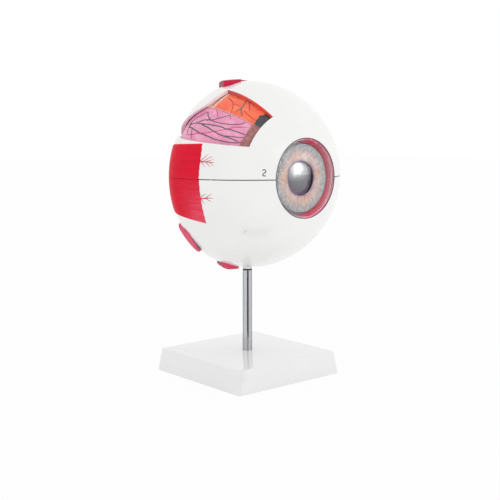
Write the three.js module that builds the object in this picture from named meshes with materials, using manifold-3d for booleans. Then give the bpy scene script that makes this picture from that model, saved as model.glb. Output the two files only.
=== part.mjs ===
// Eye anatomy model on a stand: a right eye, about six times life size, in nested shells that part
// at a level seam half way up. Millimetres, +Z up. The origin is the middle of the underside of the
// base, the eye looks along -Y, and the temple side of the eye is -X.

import * as THREE from 'three';
import { mergeVertices } from 'three/addons/utils/BufferGeometryUtils.js';
import Module from 'manifold-3d';

const wasm = await Module();
wasm.setup();

// Base and rod

const BASE_SIDE = 112.4;           // side of the square base on the table
const BASE_HEIGHT = 19.5;
const BASE_DRAFT = 2.5;            // how far each side leans in towards the top
const BASE_CORNER_RADIUS = 3;
const BASE_TOP_ROUND = 1.2;
const BASE_POCKET_CORNER = 1.5;    // inside corners of the hollow
const BASE_WALL = 3;
const BASE_RIB = 2.4;
const BASE_BOSS_RADIUS = 9;
const BASE_BOSS_FLOOR = 4;         // plastic left under the end of the rod
const ROD_RADIUS = 4;
const ROD_EXPOSED = 70.1;          // rod that shows between the base and the washer
const ROD_CHAMFER = 0.5;
const ROD_SPIGOT_RADIUS = 3;       // thinner end that enters the globe
const WASHER_THICKNESS = 0.8;      // between the shoulder of the rod and the neck of the globe

// Globe and the shells nested in it

const GLOBE_RADIUS = 78.7;
const REAR_DEPTH = 40.5;           // the back of the globe is flatter than its front
const REAR_FULLNESS = 1.7;         // 2 would make the back an ellipse
const SCLERA_WALL = 3;
const CHOROID_WALL = 1.6;
const RETINA_WALL = 1.6;
const VITREOUS_WALL = 2;
const SEAM_GAP = 0.4;              // between upper and lower halves
const LAYER_GAP = 0.4;             // between nested shells
const FIT = 0.3;                   // between pieces that are glued or seated
const NECK_RADIUS = 4.2;           // short round neck under the globe
const NECK_LENGTH = 1.6;
const SOCKET_BOSS_RADIUS = 7;
const SOCKET_FLOOR = 1.6;
const PEG_RADIUS = 0.8;
const PEG_HEIGHT = 2.6;
const PEG_ANGLES = [62, 140, 220, 298];   // around the seam, from the cornea

// Cornea, iris and lens

const CORNEA_RADIUS = 31.9;        // outer edge of the clear disc
const CORNEA_BULGE = 9.5;
const CORNEA_WALL = 1.4;
const CORNEA_FLANGE = 1;           // width of the flat edge round the dome
const CORNEA_REBATE = 1.6;         // depth of the step that the disc sits in
const CORNEA_EDGE_CHAMFER = 0.4;
const SEAT_WIDTH = 1;              // of the step that the disc rests on
const IRIS_RADIUS = 27.4;
const IRIS_DEPTH = 5.6;            // from the cornea's edge back to the rim of the iris
const IRIS_DISH = 0.5;             // the pupil lies this far behind the rim
const IRIS_WALL = 2;
const PUPIL_WALL = 1;              // the iris thins towards the pupil
const IRIS_LEDGE = 2;
const LEDGE_THICKNESS = 2.2;
const PUPIL_RADIUS = 14.2;
const LENS_RADIUS = 22;
const LENS_FRONT = 16;             // from the lens's widest section to its front
const LENS_REAR = 12;
const LENS_STANDOUT = 2.5;         // widest section of the lens in front of the clear body's face
const LENS_SEAT_RADIUS = 18;       // narrow end of the collar that the lens rests in

// Places on the globe, in degrees from the optical axis and round it

const CILIARY_REAR_ANGLE = 47.8;
const CILIARY_THIN_ANGLE = 39;     // in front of this the ring thickens towards the iris
const WINDOW_FRONT_ANGLE = 42.8;
const WINDOW_CORNER = 58;          // its rear edge bends at this height above the seam
const WINDOW_CORNER_REAR = -10.8;
const WINDOW_REAR_LEAN = 16;       // and leans forward by this angle above the bend
const WINDOW_REAR_LEAN_BELOW = 52;
const WINDOW_HIGH = 65;            // above the horizontal on the temple side
const WINDOW_FLOOR = 31.3;         // its lower edge, over the equator, lies this far above the seam
const WINDOW_FLOOR_SLOPE = 6;      // and slopes down towards the front
const RETINA_VIEW_HIGH = 49;       // the choroid is cut away below this line
const RETINA_VIEW_LOW = 16;
const RETINA_VIEW_REAR_ANGLE = 118;
const RETINA_VIEW_MARGIN = 0.4;    // degrees between the two round the cut
const RETINA_VIEW_STEP = 0.4;      // the retina is thicker there, and stands this far below the choroid
const CHOROID_VIEW_REAR = 5.5;     // and behind here, in front of the equator,
const CHOROID_VIEW_HIGH = 70;      // up to this line

// Muscle stumps

const SIDE_STRAP_PROUD = 1;
const SIDE_STRAP_TOP = 27.8;
const SIDE_STRAP_TOP_REAR = 26.3;
const SIDE_STRAP_BOTTOM_FRONT = 35;
const SIDE_STRAP_BOTTOM_REAR = 26;
const SIDE_STRAP_REAR = 21;
const LATERAL_INSERTION = 29;      // in front of the equator
const MEDIAL_INSERTION = 35;
const INSERTION_BOW = 2;
const RECTUS_PROUD = 0.9;
const RECTUS_SPREAD = 1.5;         // how much flatter the straps are than the globe, side to side
const RECTUS_TRAIL = 74;           // they leave the back of the globe on a flatter curve
const RECTUS_INSERTION = [         // from its middle, and behind the equator
  [-24, -6], [-19, -9.5], [-6, -7], [-1, 1], [12, 4], [22, 6],
];
const RECTUS_REAR = 8;
const RECTUS_HALF_REAR = 18;
const SUPERIOR_OFFSET = 6;         // towards the temple side
const INFERIOR_OFFSET = 9;
const ROD_NOTCH = 1.5;             // space between the lower strap and the neck of the globe
const OBLIQUE_TANGENT = 32;        // degrees below or above the horizontal where it leaves the globe
const OBLIQUE_REACH = 24;          // along the strap
const OBLIQUE_FRONT = 3;
const OBLIQUE_WIDTH = 17;
const OBLIQUE_PROUD = 0.9;
const OBLIQUE_THICKNESS = 3.2;
const NERVE_RADIUS = 12.5;
const NERVE_LENGTH = 14;
const NERVE_OFFSET = 11;           // towards the nose
const NERVE_SPLAY = 10;            // degrees
const NERVE_FLARE = 2.5;           // wider at its root
const NERVE_EDGE = 1;

// Fineness of round forms

const AROUND = 36;
const FRONT_STEPS = 8;
const REAR_STEPS = 7;
const SMALL_AROUND = 24;

const WASHER_TOP = BASE_HEIGHT + ROD_EXPOSED + WASHER_THICKNESS + FIT;
const EYE_HEIGHT = WASHER_TOP + FIT + NECK_LENGTH + GLOBE_RADIUS;
const CORNEA_EDGE = -Math.sqrt(GLOBE_RADIUS ** 2 - CORNEA_RADIUS ** 2);
const CHOROID_INSET = SCLERA_WALL + LAYER_GAP;
const RETINA_INSET = CHOROID_INSET + CHOROID_WALL + LAYER_GAP;
const VITREOUS_INSET = RETINA_INSET + RETINA_WALL + LAYER_GAP;
const IRIS_ROOT = CORNEA_EDGE + IRIS_DEPTH;
const LENS_CENTRE = IRIS_ROOT + LENS_FRONT;   // the lens comes level with the front of the iris
const VITREOUS_FACE = LENS_CENTRE + LENS_STANDOUT;
const FAR = 4 * GLOBE_RADIUS;      // larger than anything that it cuts

const radians = THREE.MathUtils.degToRad;

// Solids from three.js geometry, and back

function signedVolume(position, index) {
  const [a, b, c] = [new THREE.Vector3(), new THREE.Vector3(), new THREE.Vector3()];
  let volume = 0;
  for (let i = 0; i < index.length; i += 3) {
    a.fromBufferAttribute(position, index[i]);
    b.fromBufferAttribute(position, index[i + 1]);
    c.fromBufferAttribute(position, index[i + 2]);
    volume += a.dot(b.cross(c)) / 6;
  }
  return volume;
}

function solid(geometry) {
  const bare = geometry.clone();
  for (const name of Object.keys(bare.attributes)) {
    if (name !== 'position') bare.deleteAttribute(name);
  }
  const merged = mergeVertices(bare, 1e-4);
  const { position } = merged.attributes;
  const kept = [];
  for (let i = 0; i < merged.index.count; i += 3) {
    const [a, b, c] = [0, 1, 2].map((k) => merged.index.getX(i + k));
    if (a !== b && b !== c && c !== a) kept.push(a, b, c);
  }
  if (signedVolume(position, kept) < 0) kept.reverse();
  return new wasm.Manifold(new wasm.Mesh({
    numProp: 3,
    vertProperties: new Float32Array(position.array),
    triVerts: new Uint32Array(kept),
  }));
}

function geometryOf(manifold) {
  const { vertProperties, triVerts } = manifold.getMesh();
  const geometry = new THREE.BufferGeometry();
  geometry.setAttribute('position', new THREE.BufferAttribute(vertProperties, 3));
  geometry.setIndex(new THREE.BufferAttribute(triVerts, 1));
  geometry.computeVertexNormals();
  return geometry;
}

function revolve(profile, around = AROUND) {
  return solid(new THREE.LatheGeometry(profile, around));
}

function block(xMin, xMax, yMin, yMax, zMin, zMax) {
  const box = new THREE.BoxGeometry(xMax - xMin, yMax - yMin, zMax - zMin);
  box.translate((xMin + xMax) / 2, (yMin + yMax) / 2, (zMin + zMax) / 2);
  return solid(box);
}

function upright(radius, zMin, zMax, x = 0, y = 0, around = SMALL_AROUND) {
  const pin = new THREE.CylinderGeometry(radius, radius, zMax - zMin, around);
  pin.rotateX(Math.PI / 2);
  pin.translate(x, y, (zMin + zMax) / 2);
  return solid(pin);
}

// A prism over an outline drawn in the XY plane, turned by the matrix given
function prism(points, depth, matrix) {
  const geometry = new THREE.ExtrudeGeometry(new THREE.Shape(points), { depth, bevelEnabled: false });
  geometry.applyMatrix4(matrix);
  return solid(geometry);
}

const point = (x, y) => new THREE.Vector2(x, y);

// Angle off the optical axis of a circle of that radius on a ball
const angleOffAxis = (circle, ball) => THREE.MathUtils.radToDeg(Math.asin(circle / ball));

// Halves on either side of the seam

const aboveSeam = block(-FAR, FAR, -FAR, FAR, SEAM_GAP / 2, FAR);
const belowSeam = block(-FAR, FAR, -FAR, FAR, -FAR, -SEAM_GAP / 2);
const upper = (body) => body.intersect(aboveSeam);
const lower = (body) => body.intersect(belowSeam);

// Outline of the globe at some depth below its outer surface, from an angle off the optical axis to
// the back pole: round in front of the equator, flatter and fuller behind it. Each point holds the
// distance from the optical axis and the place along it.
function outline(inset, fromAngle = 0, rearDepth = REAR_DEPTH) {
  const radius = GLOBE_RADIUS - inset;
  const depth = rearDepth - inset;
  const points = [];
  const frontSteps = Math.max(1, Math.round(FRONT_STEPS * (90 - fromAngle) / 90));
  for (let i = 0; i <= frontSteps; i++) {
    const angle = radians(fromAngle + (90 - fromAngle) * i / frontSteps);
    points.push(point(radius * Math.sin(angle), -radius * Math.cos(angle)));
  }
  for (let i = 1; i < REAR_STEPS; i++) {
    const angle = radians(90 * i / REAR_STEPS);
    points.push(point(
      radius * Math.cos(angle) ** (2 / REAR_FULLNESS),
      depth * Math.sin(angle) ** (2 / REAR_FULLNESS),
    ));
  }
  points.push(point(0, depth));
  if (fromAngle === 0) points[0].x = 0;
  return points;
}

function layer(outerInset, wall, fromAngle) {
  const outside = outline(outerInset, fromAngle).reverse();
  const inside = outline(outerInset + wall, fromAngle);
  return revolve([...outside, ...inside]);
}

// A ring-shaped wedge between two angles off the optical axis
function zone(fromAngle, toAngle) {
  const edge = (angle) => point(FAR * Math.sin(radians(angle)), -FAR * Math.cos(radians(angle)));
  const near = (angle) => edge(angle).divideScalar(FAR);
  const middle = (fromAngle + toAngle) / 2;
  return revolve([near(fromAngle), edge(fromAngle), edge(middle), edge(toAngle), near(toAngle),
    near(fromAngle)]);
}

// The slice between two planes through the optical axis, at angles above the horizontal on the
// temple side
function slice(low, high) {
  const ray = (angle) => point(-FAR * Math.cos(radians(angle)), FAR * Math.sin(radians(angle)));
  const sides = new THREE.Matrix4().makeRotationX(Math.PI / 2).setPosition(0, FAR, 0);
  return prism([point(0, 0), ray(low), ray((low + high) / 2), ray(high)], 2 * FAR, sides);
}

// Stand

function roundedSquare(half, z, cornerRadius) {
  const ring = [];
  const steps = 4;
  const inner = half - cornerRadius;
  for (const [sx, sy, start] of [[1, 1, 0], [-1, 1, 90], [-1, -1, 180], [1, -1, 270]]) {
    for (let i = 0; i <= steps; i++) {
      const angle = radians(start + 90 * i / steps);
      ring.push(new THREE.Vector3(
        sx * inner + cornerRadius * Math.cos(angle),
        sy * inner + cornerRadius * Math.sin(angle),
        z,
      ));
    }
  }
  return ring;
}

function loft(rings) {
  const count = rings[0].length;
  const corners = rings.flat();
  const middle = (ring) => new THREE.Vector3(0, 0, ring[0].z);
  const bottom = corners.push(middle(rings[0])) - 1;
  const top = corners.push(middle(rings.at(-1))) - 1;
  const index = [];
  for (let level = 0; level + 1 < rings.length; level++) {
    for (let i = 0; i < count; i++) {
      const a = level * count + i;
      const b = level * count + (i + 1) % count;
      index.push(a, b, b + count, a, b + count, a + count);
    }
  }
  const last = (rings.length - 1) * count;
  for (let i = 0; i < count; i++) {
    const next = (i + 1) % count;
    index.push(bottom, next, i, top, last + i, last + next);
  }
  const geometry = new THREE.BufferGeometry().setFromPoints(corners);
  geometry.setIndex(index);
  return solid(geometry);
}

function baseShell() {
  const half = BASE_SIDE / 2;
  const leanAt = (z) => BASE_DRAFT * z / BASE_HEIGHT;
  const outside = [roundedSquare(half, 0, BASE_CORNER_RADIUS)];
  const roundSteps = 3;
  for (let i = 0; i <= roundSteps; i++) {
    const angle = radians(90 * i / roundSteps);
    const z = BASE_HEIGHT - BASE_TOP_ROUND * (1 - Math.sin(angle));
    const pull = leanAt(z) + BASE_TOP_ROUND * (1 - Math.cos(angle));
    outside.push(roundedSquare(half - pull, z, BASE_CORNER_RADIUS));
  }
  const ceiling = BASE_HEIGHT - BASE_WALL;
  const hollow = loft([
    roundedSquare(half - BASE_WALL + leanAt(BASE_WALL), -BASE_WALL, BASE_POCKET_CORNER),
    roundedSquare(half - BASE_WALL - leanAt(ceiling), ceiling, BASE_POCKET_CORNER),
  ]);
  const reach = half - BASE_WALL / 2 - BASE_DRAFT;
  const ribFoot = BASE_WALL;
  const ribs = block(-reach, reach, -BASE_RIB / 2, BASE_RIB / 2, ribFoot, ceiling)
    .add(block(-BASE_RIB / 2, BASE_RIB / 2, -reach, reach, ribFoot, ceiling));
  const boss = upright(BASE_BOSS_RADIUS, 0, ceiling);
  const bore = upright(ROD_RADIUS + FIT / 2, BASE_BOSS_FLOOR, EYE_HEIGHT);
  return loft(outside).subtract(hollow.subtract(ribs).subtract(boss)).subtract(bore);
}

function rod() {
  const bottom = BASE_BOSS_FLOOR + FIT;
  const shoulder = BASE_HEIGHT + ROD_EXPOSED;
  const top = EYE_HEIGHT - GLOBE_RADIUS + RETINA_INSET + RETINA_WALL - SOCKET_FLOOR - FIT;
  return revolve([
    point(0, bottom),
    point(ROD_RADIUS - ROD_CHAMFER, bottom),
    point(ROD_RADIUS, bottom + ROD_CHAMFER),
    point(ROD_RADIUS, shoulder),
    point(ROD_SPIGOT_RADIUS, shoulder),
    point(ROD_SPIGOT_RADIUS, top - ROD_CHAMFER),
    point(ROD_SPIGOT_RADIUS - ROD_CHAMFER, top),
    point(0, top),
  ], SMALL_AROUND).rotate([90, 0, 0]);
}

function rodWasher() {
  return upright(ROD_RADIUS, WASHER_TOP - WASHER_THICKNESS, WASHER_TOP)
    .subtract(upright(ROD_SPIGOT_RADIUS + FIT, 0, EYE_HEIGHT));
}

// Sclera: the white outer shell, with a step round its front opening for the cornea

const seatFloor = CORNEA_EDGE + CORNEA_REBATE;
const seatRadius = CORNEA_RADIUS + FIT;
const seatAngle = angleOffAxis(seatRadius, GLOBE_RADIUS);

// Behind the seat the opening narrows in a straight cone down to the rim of the iris
function coneRadius(along) {
  const run = (along - seatFloor) / (IRIS_ROOT - seatFloor);
  return THREE.MathUtils.lerp(seatRadius - SEAT_WIDTH, IRIS_RADIUS, run);
}

// The point where that cone meets the round surface of the given radius
function coneMeets(radius) {
  const slope = (coneRadius(IRIS_ROOT) - coneRadius(seatFloor)) / (IRIS_ROOT - seatFloor);
  const wide = coneRadius(0);
  const square = 1 + slope ** 2;
  const half = wide * slope;
  const along = (-half - Math.sqrt(half ** 2 - square * (wide ** 2 - radius ** 2))) / square;
  return point(coneRadius(along), along);
}

function sclera() {
  const outside = outline(0, seatAngle).reverse();
  const lip = coneMeets(GLOBE_RADIUS - SCLERA_WALL);
  const inside = outline(SCLERA_WALL, angleOffAxis(lip.x, GLOBE_RADIUS - SCLERA_WALL));
  return revolve([
    ...outside,
    point(seatRadius, seatFloor),
    point(seatRadius - SEAT_WIDTH, seatFloor),
    ...inside,
  ]);
}

function pegs(radius, height) {
  const middle = GLOBE_RADIUS - SCLERA_WALL / 2;
  const rearMiddle = REAR_DEPTH - SCLERA_WALL / 2;
  const places = PEG_ANGLES.map((angle) => {
    const side = Math.sin(radians(angle));
    const along = -Math.cos(radians(angle));
    if (along < 0) return [middle * side, middle * along];
    const fullness = REAR_FULLNESS;
    const reach = (Math.abs(side / middle) ** fullness + (along / rearMiddle) ** fullness)
      ** (-1 / fullness);
    return [reach * side, reach * along];
  });
  return places.map(([x, y]) => upright(radius, -height, height, x, y, SMALL_AROUND / 2))
    .reduce((all, peg) => all.add(peg));
}

function windowOpening() {
  const inFront = (lean) => block(-FAR, FAR, -FAR, 0, -FAR, FAR)
    .rotate([lean, 0, 0]).translate([0, WINDOW_CORNER_REAR, WINDOW_CORNER]);
  const inFrontOfRearEdge = inFront(WINDOW_REAR_LEAN).add(inFront(WINDOW_REAR_LEAN_BELOW));
  const aboveFloor = block(-FAR, FAR, -FAR, FAR, 0, FAR)
    .rotate([WINDOW_FLOOR_SLOPE, 0, 0]).translate([0, 0, WINDOW_FLOOR]);
  return zone(WINDOW_FRONT_ANGLE, RETINA_VIEW_REAR_ANGLE).intersect(slice(0, WINDOW_HIGH))
    .intersect(inFrontOfRearEdge).intersect(aboveFloor);
}

function scleraUpper() {
  return upper(sclera()).subtract(windowOpening()).subtract(pegs(PEG_RADIUS + FIT, PEG_HEIGHT + FIT));
}

function scleraLower() {
  const bossTop = -GLOBE_RADIUS + RETINA_INSET + RETINA_WALL;
  const insideSurface = revolve([point(0, -GLOBE_RADIUS), ...outline(SCLERA_WALL / 4, seatAngle)]);
  const boss = upright(SOCKET_BOSS_RADIUS, -GLOBE_RADIUS, bossTop).intersect(insideSurface);
  const neck = upright(NECK_RADIUS, -GLOBE_RADIUS - NECK_LENGTH, SCLERA_WALL / 2 - GLOBE_RADIUS);
  const bore = upright(ROD_SPIGOT_RADIUS + FIT, -FAR, bossTop - SOCKET_FLOOR);
  const standing = block(-FAR, FAR, -FAR, FAR, -PEG_HEIGHT / 2, FAR);
  return lower(sclera()).add(pegs(PEG_RADIUS, PEG_HEIGHT).intersect(standing))
    .add(boss).add(neck).subtract(bore);
}

// Choroid and retina: two thinner shells inside the sclera, with a round hole in the lower halves
// that clears the socket of the rod

const socketClearance = upright(SOCKET_BOSS_RADIUS + 2 * LAYER_GAP, -FAR, 0);
const choroid = layer(CHOROID_INSET, CHOROID_WALL, CILIARY_REAR_ANGLE + FIT);
const retina = layer(RETINA_INSET, RETINA_WALL, CILIARY_REAR_ANGLE + FIT);

// Where the choroid is cut away to show the retina; the margin is an angle
function retinaView(margin) {
  const angles = zone(CILIARY_THIN_ANGLE, RETINA_VIEW_REAR_ANGLE - margin);
  const setBack = radians(margin) * GLOBE_RADIUS;
  const behind = block(-FAR, FAR, -CHOROID_VIEW_REAR + setBack, FAR, -FAR, FAR);
  const below = slice(RETINA_VIEW_LOW + margin, RETINA_VIEW_HIGH - margin);
  const rearStrip = slice(RETINA_VIEW_LOW + margin, CHOROID_VIEW_HIGH - margin).intersect(behind);
  return angles.intersect(below.add(rearStrip));
}

function choroidUpper() {
  return upper(choroid).subtract(retinaView(0));
}

function retinaUpper() {
  const inset = CHOROID_INSET + RETINA_VIEW_STEP;
  const panel = layer(inset, RETINA_INSET + RETINA_WALL - inset, CILIARY_REAR_ANGLE + FIT);
  return upper(retina.add(panel.intersect(retinaView(RETINA_VIEW_MARGIN))));
}

// Ciliary body: the ring behind the front opening, which carries the iris on a ledge
function ciliaryBody() {
  const outerRadius = GLOBE_RADIUS - CHOROID_INSET;
  const innerRadius = outerRadius - CHOROID_WALL - LAYER_GAP - RETINA_WALL;
  const front = coneMeets(outerRadius);
  const steps = 3;
  const arc = (radius, from, to) => Array.from({ length: steps + 1 }, (_, i) => {
    const angle = radians(from + (to - from) * i / steps);
    return point(radius * Math.sin(angle), -radius * Math.cos(angle));
  });
  const ledgeFront = IRIS_ROOT + IRIS_WALL + FIT;
  const ledgeRear = ledgeFront + LEDGE_THICKNESS;
  const wall = IRIS_RADIUS + FIT;
  const profile = [
    ...arc(outerRadius, angleOffAxis(front.x, outerRadius), CILIARY_REAR_ANGLE),
    ...arc(innerRadius, CILIARY_REAR_ANGLE, CILIARY_THIN_ANGLE),
    point(wall + IRIS_LEDGE, ledgeRear + IRIS_LEDGE),
    point(wall - IRIS_LEDGE, ledgeRear),
    point(wall - IRIS_LEDGE, ledgeFront),
    point(wall, ledgeFront),
    point(wall, IRIS_ROOT),
  ];
  return revolve([...profile, profile[0].clone()]);
}

function iris() {
  const pupilFront = IRIS_ROOT + IRIS_DISH;
  const profile = [
    point(PUPIL_RADIUS, pupilFront),
    point((PUPIL_RADIUS + IRIS_RADIUS) / 2, pupilFront - IRIS_DISH / 4),
    point(IRIS_RADIUS, IRIS_ROOT),
    point(IRIS_RADIUS, IRIS_ROOT + IRIS_WALL),
    point(IRIS_RADIUS - IRIS_LEDGE, IRIS_ROOT + IRIS_WALL),
    point(PUPIL_RADIUS, pupilFront + PUPIL_WALL),
  ];
  return revolve([...profile, profile[0].clone()]);
}

// Lens and the clear body behind it

function lensOutline(grow) {
  const steps = 5;
  const points = [];
  for (let i = 0; i <= steps; i++) {
    const angle = radians(90 * i / steps);
    points.push(point((LENS_RADIUS + grow) * Math.sin(angle),
      LENS_CENTRE - (LENS_FRONT + grow) * Math.cos(angle)));
  }
  for (let i = 1; i <= steps; i++) {
    const angle = radians(90 * i / steps);
    points.push(point((LENS_RADIUS + grow) * Math.cos(angle),
      LENS_CENTRE + (LENS_REAR + grow) * Math.sin(angle)));
  }
  points[0].x = 0;
  points.at(-1).x = 0;
  return points;
}

// The clear body is hollow and open in front, where a dished collar carries the back of the lens
function vitreous() {
  const radius = GLOBE_RADIUS - VITREOUS_INSET;
  const angleAt = (y, r) => THREE.MathUtils.radToDeg(Math.acos(-y / r));
  const outside = outline(VITREOUS_INSET, angleAt(VITREOUS_FACE, radius)).reverse();
  const inside = outline(
    VITREOUS_INSET + VITREOUS_WALL,
    angleAt(VITREOUS_FACE + VITREOUS_WALL, radius - VITREOUS_WALL),
  );
  const steps = 3;
  const collar = (grow) => {
    const from = Math.asin(LENS_STANDOUT / (LENS_REAR + grow));
    const to = Math.acos(LENS_SEAT_RADIUS / (LENS_RADIUS + grow));
    return Array.from({ length: steps + 1 }, (_, i) => {
      const angle = from + (to - from) * i / steps;
      return point((LENS_RADIUS + grow) * Math.cos(angle),
        LENS_CENTRE + (LENS_REAR + grow) * Math.sin(angle));
    });
  };
  const back = collar(LAYER_GAP + VITREOUS_WALL).reverse();
  back[back.length - 1].y += VITREOUS_WALL;
  return revolve([...outside, ...collar(LAYER_GAP), ...back, ...inside]);
}

// Cornea: a clear dome with a flat edge that sits in the step of the sclera

function cornea() {
  const domeEdge = CORNEA_RADIUS - CORNEA_FLANGE;
  const rearFace = seatFloor - FIT;
  const capRadius = (domeEdge ** 2 + CORNEA_BULGE ** 2) / (2 * CORNEA_BULGE);
  const capCentre = CORNEA_EDGE - CORNEA_BULGE + capRadius;
  const steps = 5;
  const cap = (radius, rim) => {
    const open = Math.asin(rim / radius);
    return Array.from({ length: steps + 1 }, (_, i) => {
      const angle = open * i / steps;
      return point(radius * Math.sin(angle), capCentre - radius * Math.cos(angle));
    });
  };
  const outside = cap(capRadius, domeEdge);
  const inside = cap(capRadius - CORNEA_WALL, domeEdge - CORNEA_WALL).reverse();
  return revolve([
    ...outside,
    point(CORNEA_RADIUS - CORNEA_EDGE_CHAMFER, CORNEA_EDGE),
    point(CORNEA_RADIUS, CORNEA_EDGE + CORNEA_EDGE_CHAMFER),
    point(CORNEA_RADIUS, rearFace),
    point(domeEdge - CORNEA_WALL, rearFace),
    ...inside,
  ]);
}

// Muscle stumps. Each is the space between the globe and a slightly larger form, inside a prism that
// gives its outline seen from the side where it lies.

const globeSkin = revolve([point(0, -GLOBE_RADIUS - FIT), ...outline(-FIT, seatAngle)]);

function flatStrap(side) {
  const front = side < 0 ? LATERAL_INSERTION : MEDIAL_INSERTION;
  const middle = (SIDE_STRAP_TOP - SIDE_STRAP_BOTTOM_FRONT) / 2;
  const points = [
    point(SIDE_STRAP_REAR, SIDE_STRAP_TOP_REAR),
    point(-front + INSERTION_BOW, SIDE_STRAP_TOP),
    point(-front + INSERTION_BOW / 4, (SIDE_STRAP_TOP + middle) / 2),
    point(-front, middle),
    point(-front + INSERTION_BOW / 4, (middle - SIDE_STRAP_BOTTOM_FRONT) / 2),
    point(-front + INSERTION_BOW, -SIDE_STRAP_BOTTOM_FRONT),
    point(SIDE_STRAP_REAR, -SIDE_STRAP_BOTTOM_REAR),
  ];
  const seenFromSide = new THREE.Matrix4().makeBasis(
    new THREE.Vector3(0, 1, 0), new THREE.Vector3(0, 0, 1), new THREE.Vector3(1, 0, 0),
  );
  if (side < 0) seenFromSide.setPosition(-FAR, 0, 0);
  return revolve(outline(-SIDE_STRAP_PROUD)).subtract(globeSkin)
    .intersect(prism(points, FAR, seenFromSide));
}

function uprightStrap(side) {
  const middle = side < 0 ? -INFERIOR_OFFSET : -SUPERIOR_OFFSET;
  const points = [
    point(middle - RECTUS_HALF_REAR, RECTUS_REAR),
    ...RECTUS_INSERTION.map(([x, y]) => point(middle + x, y)),
    point(middle + RECTUS_HALF_REAR, RECTUS_REAR),
  ];
  const from = side < 0 ? -FAR : 0;
  const form = revolve(outline(-RECTUS_PROUD, 0, RECTUS_TRAIL)).scale([RECTUS_SPREAD, 1, 1])
    .translate([middle, 0, 0]);
  const rodNotch = upright(NECK_RADIUS + ROD_NOTCH, -FAR, 0);
  return form.subtract(globeSkin).subtract(rodNotch)
    .intersect(prism(points, FAR, new THREE.Matrix4().makeTranslation(0, 0, from)));
}

// A short strap round the globe, which leaves it along a tangent: its outer face starts level with
// the surface and stands further out towards the cut end
function tangentStrap(side) {
  const face = GLOBE_RADIUS + OBLIQUE_PROUD;
  const strap = block(0, face, -OBLIQUE_FRONT, OBLIQUE_WIDTH - OBLIQUE_FRONT, 0, OBLIQUE_REACH)
    .rotate([0, -OBLIQUE_TANGENT, 0]);
  const placed = side > 0 ? strap : strap.mirror([1, 0, 0]).mirror([0, 0, 1]);
  return revolve(outline(-OBLIQUE_THICKNESS)).intersect(placed).subtract(globeSkin);
}

function opticNerve() {
  const stump = new THREE.LatheGeometry([
    point(0, 0),
    point(NERVE_RADIUS + NERVE_FLARE, 0),
    point(NERVE_RADIUS, REAR_DEPTH + NERVE_FLARE),
    point(NERVE_RADIUS, REAR_DEPTH + NERVE_LENGTH - NERVE_EDGE),
    point(NERVE_RADIUS - NERVE_EDGE, REAR_DEPTH + NERVE_LENGTH),
    point(0, REAR_DEPTH + NERVE_LENGTH),
  ], SMALL_AROUND);
  stump.rotateZ(-radians(NERVE_SPLAY));
  stump.translate(NERVE_OFFSET / 2, 0, 0);
  return solid(stump).subtract(globeSkin);
}

// Materials

const white = { color: 0xf0f0ee, roughness: 0.25, metalness: 0 };
const muscle = { color: 0xd2263f, roughness: 0.45, metalness: 0 };
const oblique = { color: 0xd65a78, roughness: 0.45, metalness: 0 };
const finishes = {
  base: white,
  sclera: white,
  steel: { color: 0xb9bcc0, roughness: 0.25, metalness: 1 },
  rubber: { color: 0x2b2b2d, roughness: 0.7, metalness: 0 },
  muscle,
  oblique,
  nerve: { color: 0xe9cf8a, roughness: 0.5, metalness: 0 },
  choroid: { color: 0xf2683c, roughness: 0.4, metalness: 0 },
  ciliary: { color: 0x8c3440, roughness: 0.5, metalness: 0 },
  retina: { color: 0xe596b9, roughness: 0.4, metalness: 0 },
  iris: { color: 0x9a6a48, roughness: 0.45, metalness: 0 },
  clear: { color: 0xe8f0f2, roughness: 0.05, metalness: 0 },
  lens: { color: 0xc9ccd2, roughness: 0.08, metalness: 0 },
};

// Assembly

const model = new THREE.Group();
const globe = new THREE.Group();
globe.position.set(0, 0, EYE_HEIGHT);
model.add(globe);

function add(group, name, body, finish) {
  const mesh = new THREE.Mesh(geometryOf(body), new THREE.MeshStandardMaterial(finishes[finish]));
  mesh.name = name;
  group.add(mesh);
}

add(model, 'base_shell', baseShell(), 'base');
add(model, 'rod', rod(), 'steel');
add(model, 'rod_washer', rodWasher(), 'rubber');

const lateralRectus = flatStrap(-1);
const medialRectus = flatStrap(1);
const nerve = opticNerve();
const ciliary = ciliaryBody();
const irisRing = iris();

add(globe, 'sclera_lower', scleraLower(), 'sclera');
add(globe, 'lateral_rectus_lower', lower(lateralRectus), 'muscle');
add(globe, 'medial_rectus_lower', lower(medialRectus), 'muscle');
add(globe, 'inferior_rectus', uprightStrap(-1), 'muscle');
add(globe, 'inferior_oblique', tangentStrap(-1), 'oblique');
add(globe, 'optic_nerve_lower', lower(nerve), 'nerve');

add(globe, 'choroid_lower', lower(choroid).subtract(socketClearance), 'choroid');
add(globe, 'ciliary_body_lower', lower(ciliary), 'ciliary');
add(globe, 'retina_lower', lower(retina).subtract(socketClearance), 'retina');
add(globe, 'iris_lower', lower(irisRing), 'iris');

add(globe, 'sclera_upper', scleraUpper(), 'sclera');
add(globe, 'lateral_rectus_upper', upper(lateralRectus), 'muscle');
add(globe, 'medial_rectus_upper', upper(medialRectus), 'muscle');
add(globe, 'superior_rectus', uprightStrap(1), 'muscle');
add(globe, 'superior_oblique', tangentStrap(1), 'oblique');
add(globe, 'optic_nerve_upper', upper(nerve), 'nerve');

add(globe, 'choroid_upper', choroidUpper(), 'choroid');
add(globe, 'ciliary_body_upper', upper(ciliary), 'ciliary');
add(globe, 'retina_upper', retinaUpper(), 'retina');
add(globe, 'iris_upper', upper(irisRing), 'iris');

add(globe, 'vitreous_body', vitreous(), 'clear');
add(globe, 'lens', revolve(lensOutline(0), SMALL_AROUND), 'lens');
add(globe, 'cornea', cornea(), 'clear');

export default model;
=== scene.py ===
import math

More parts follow.
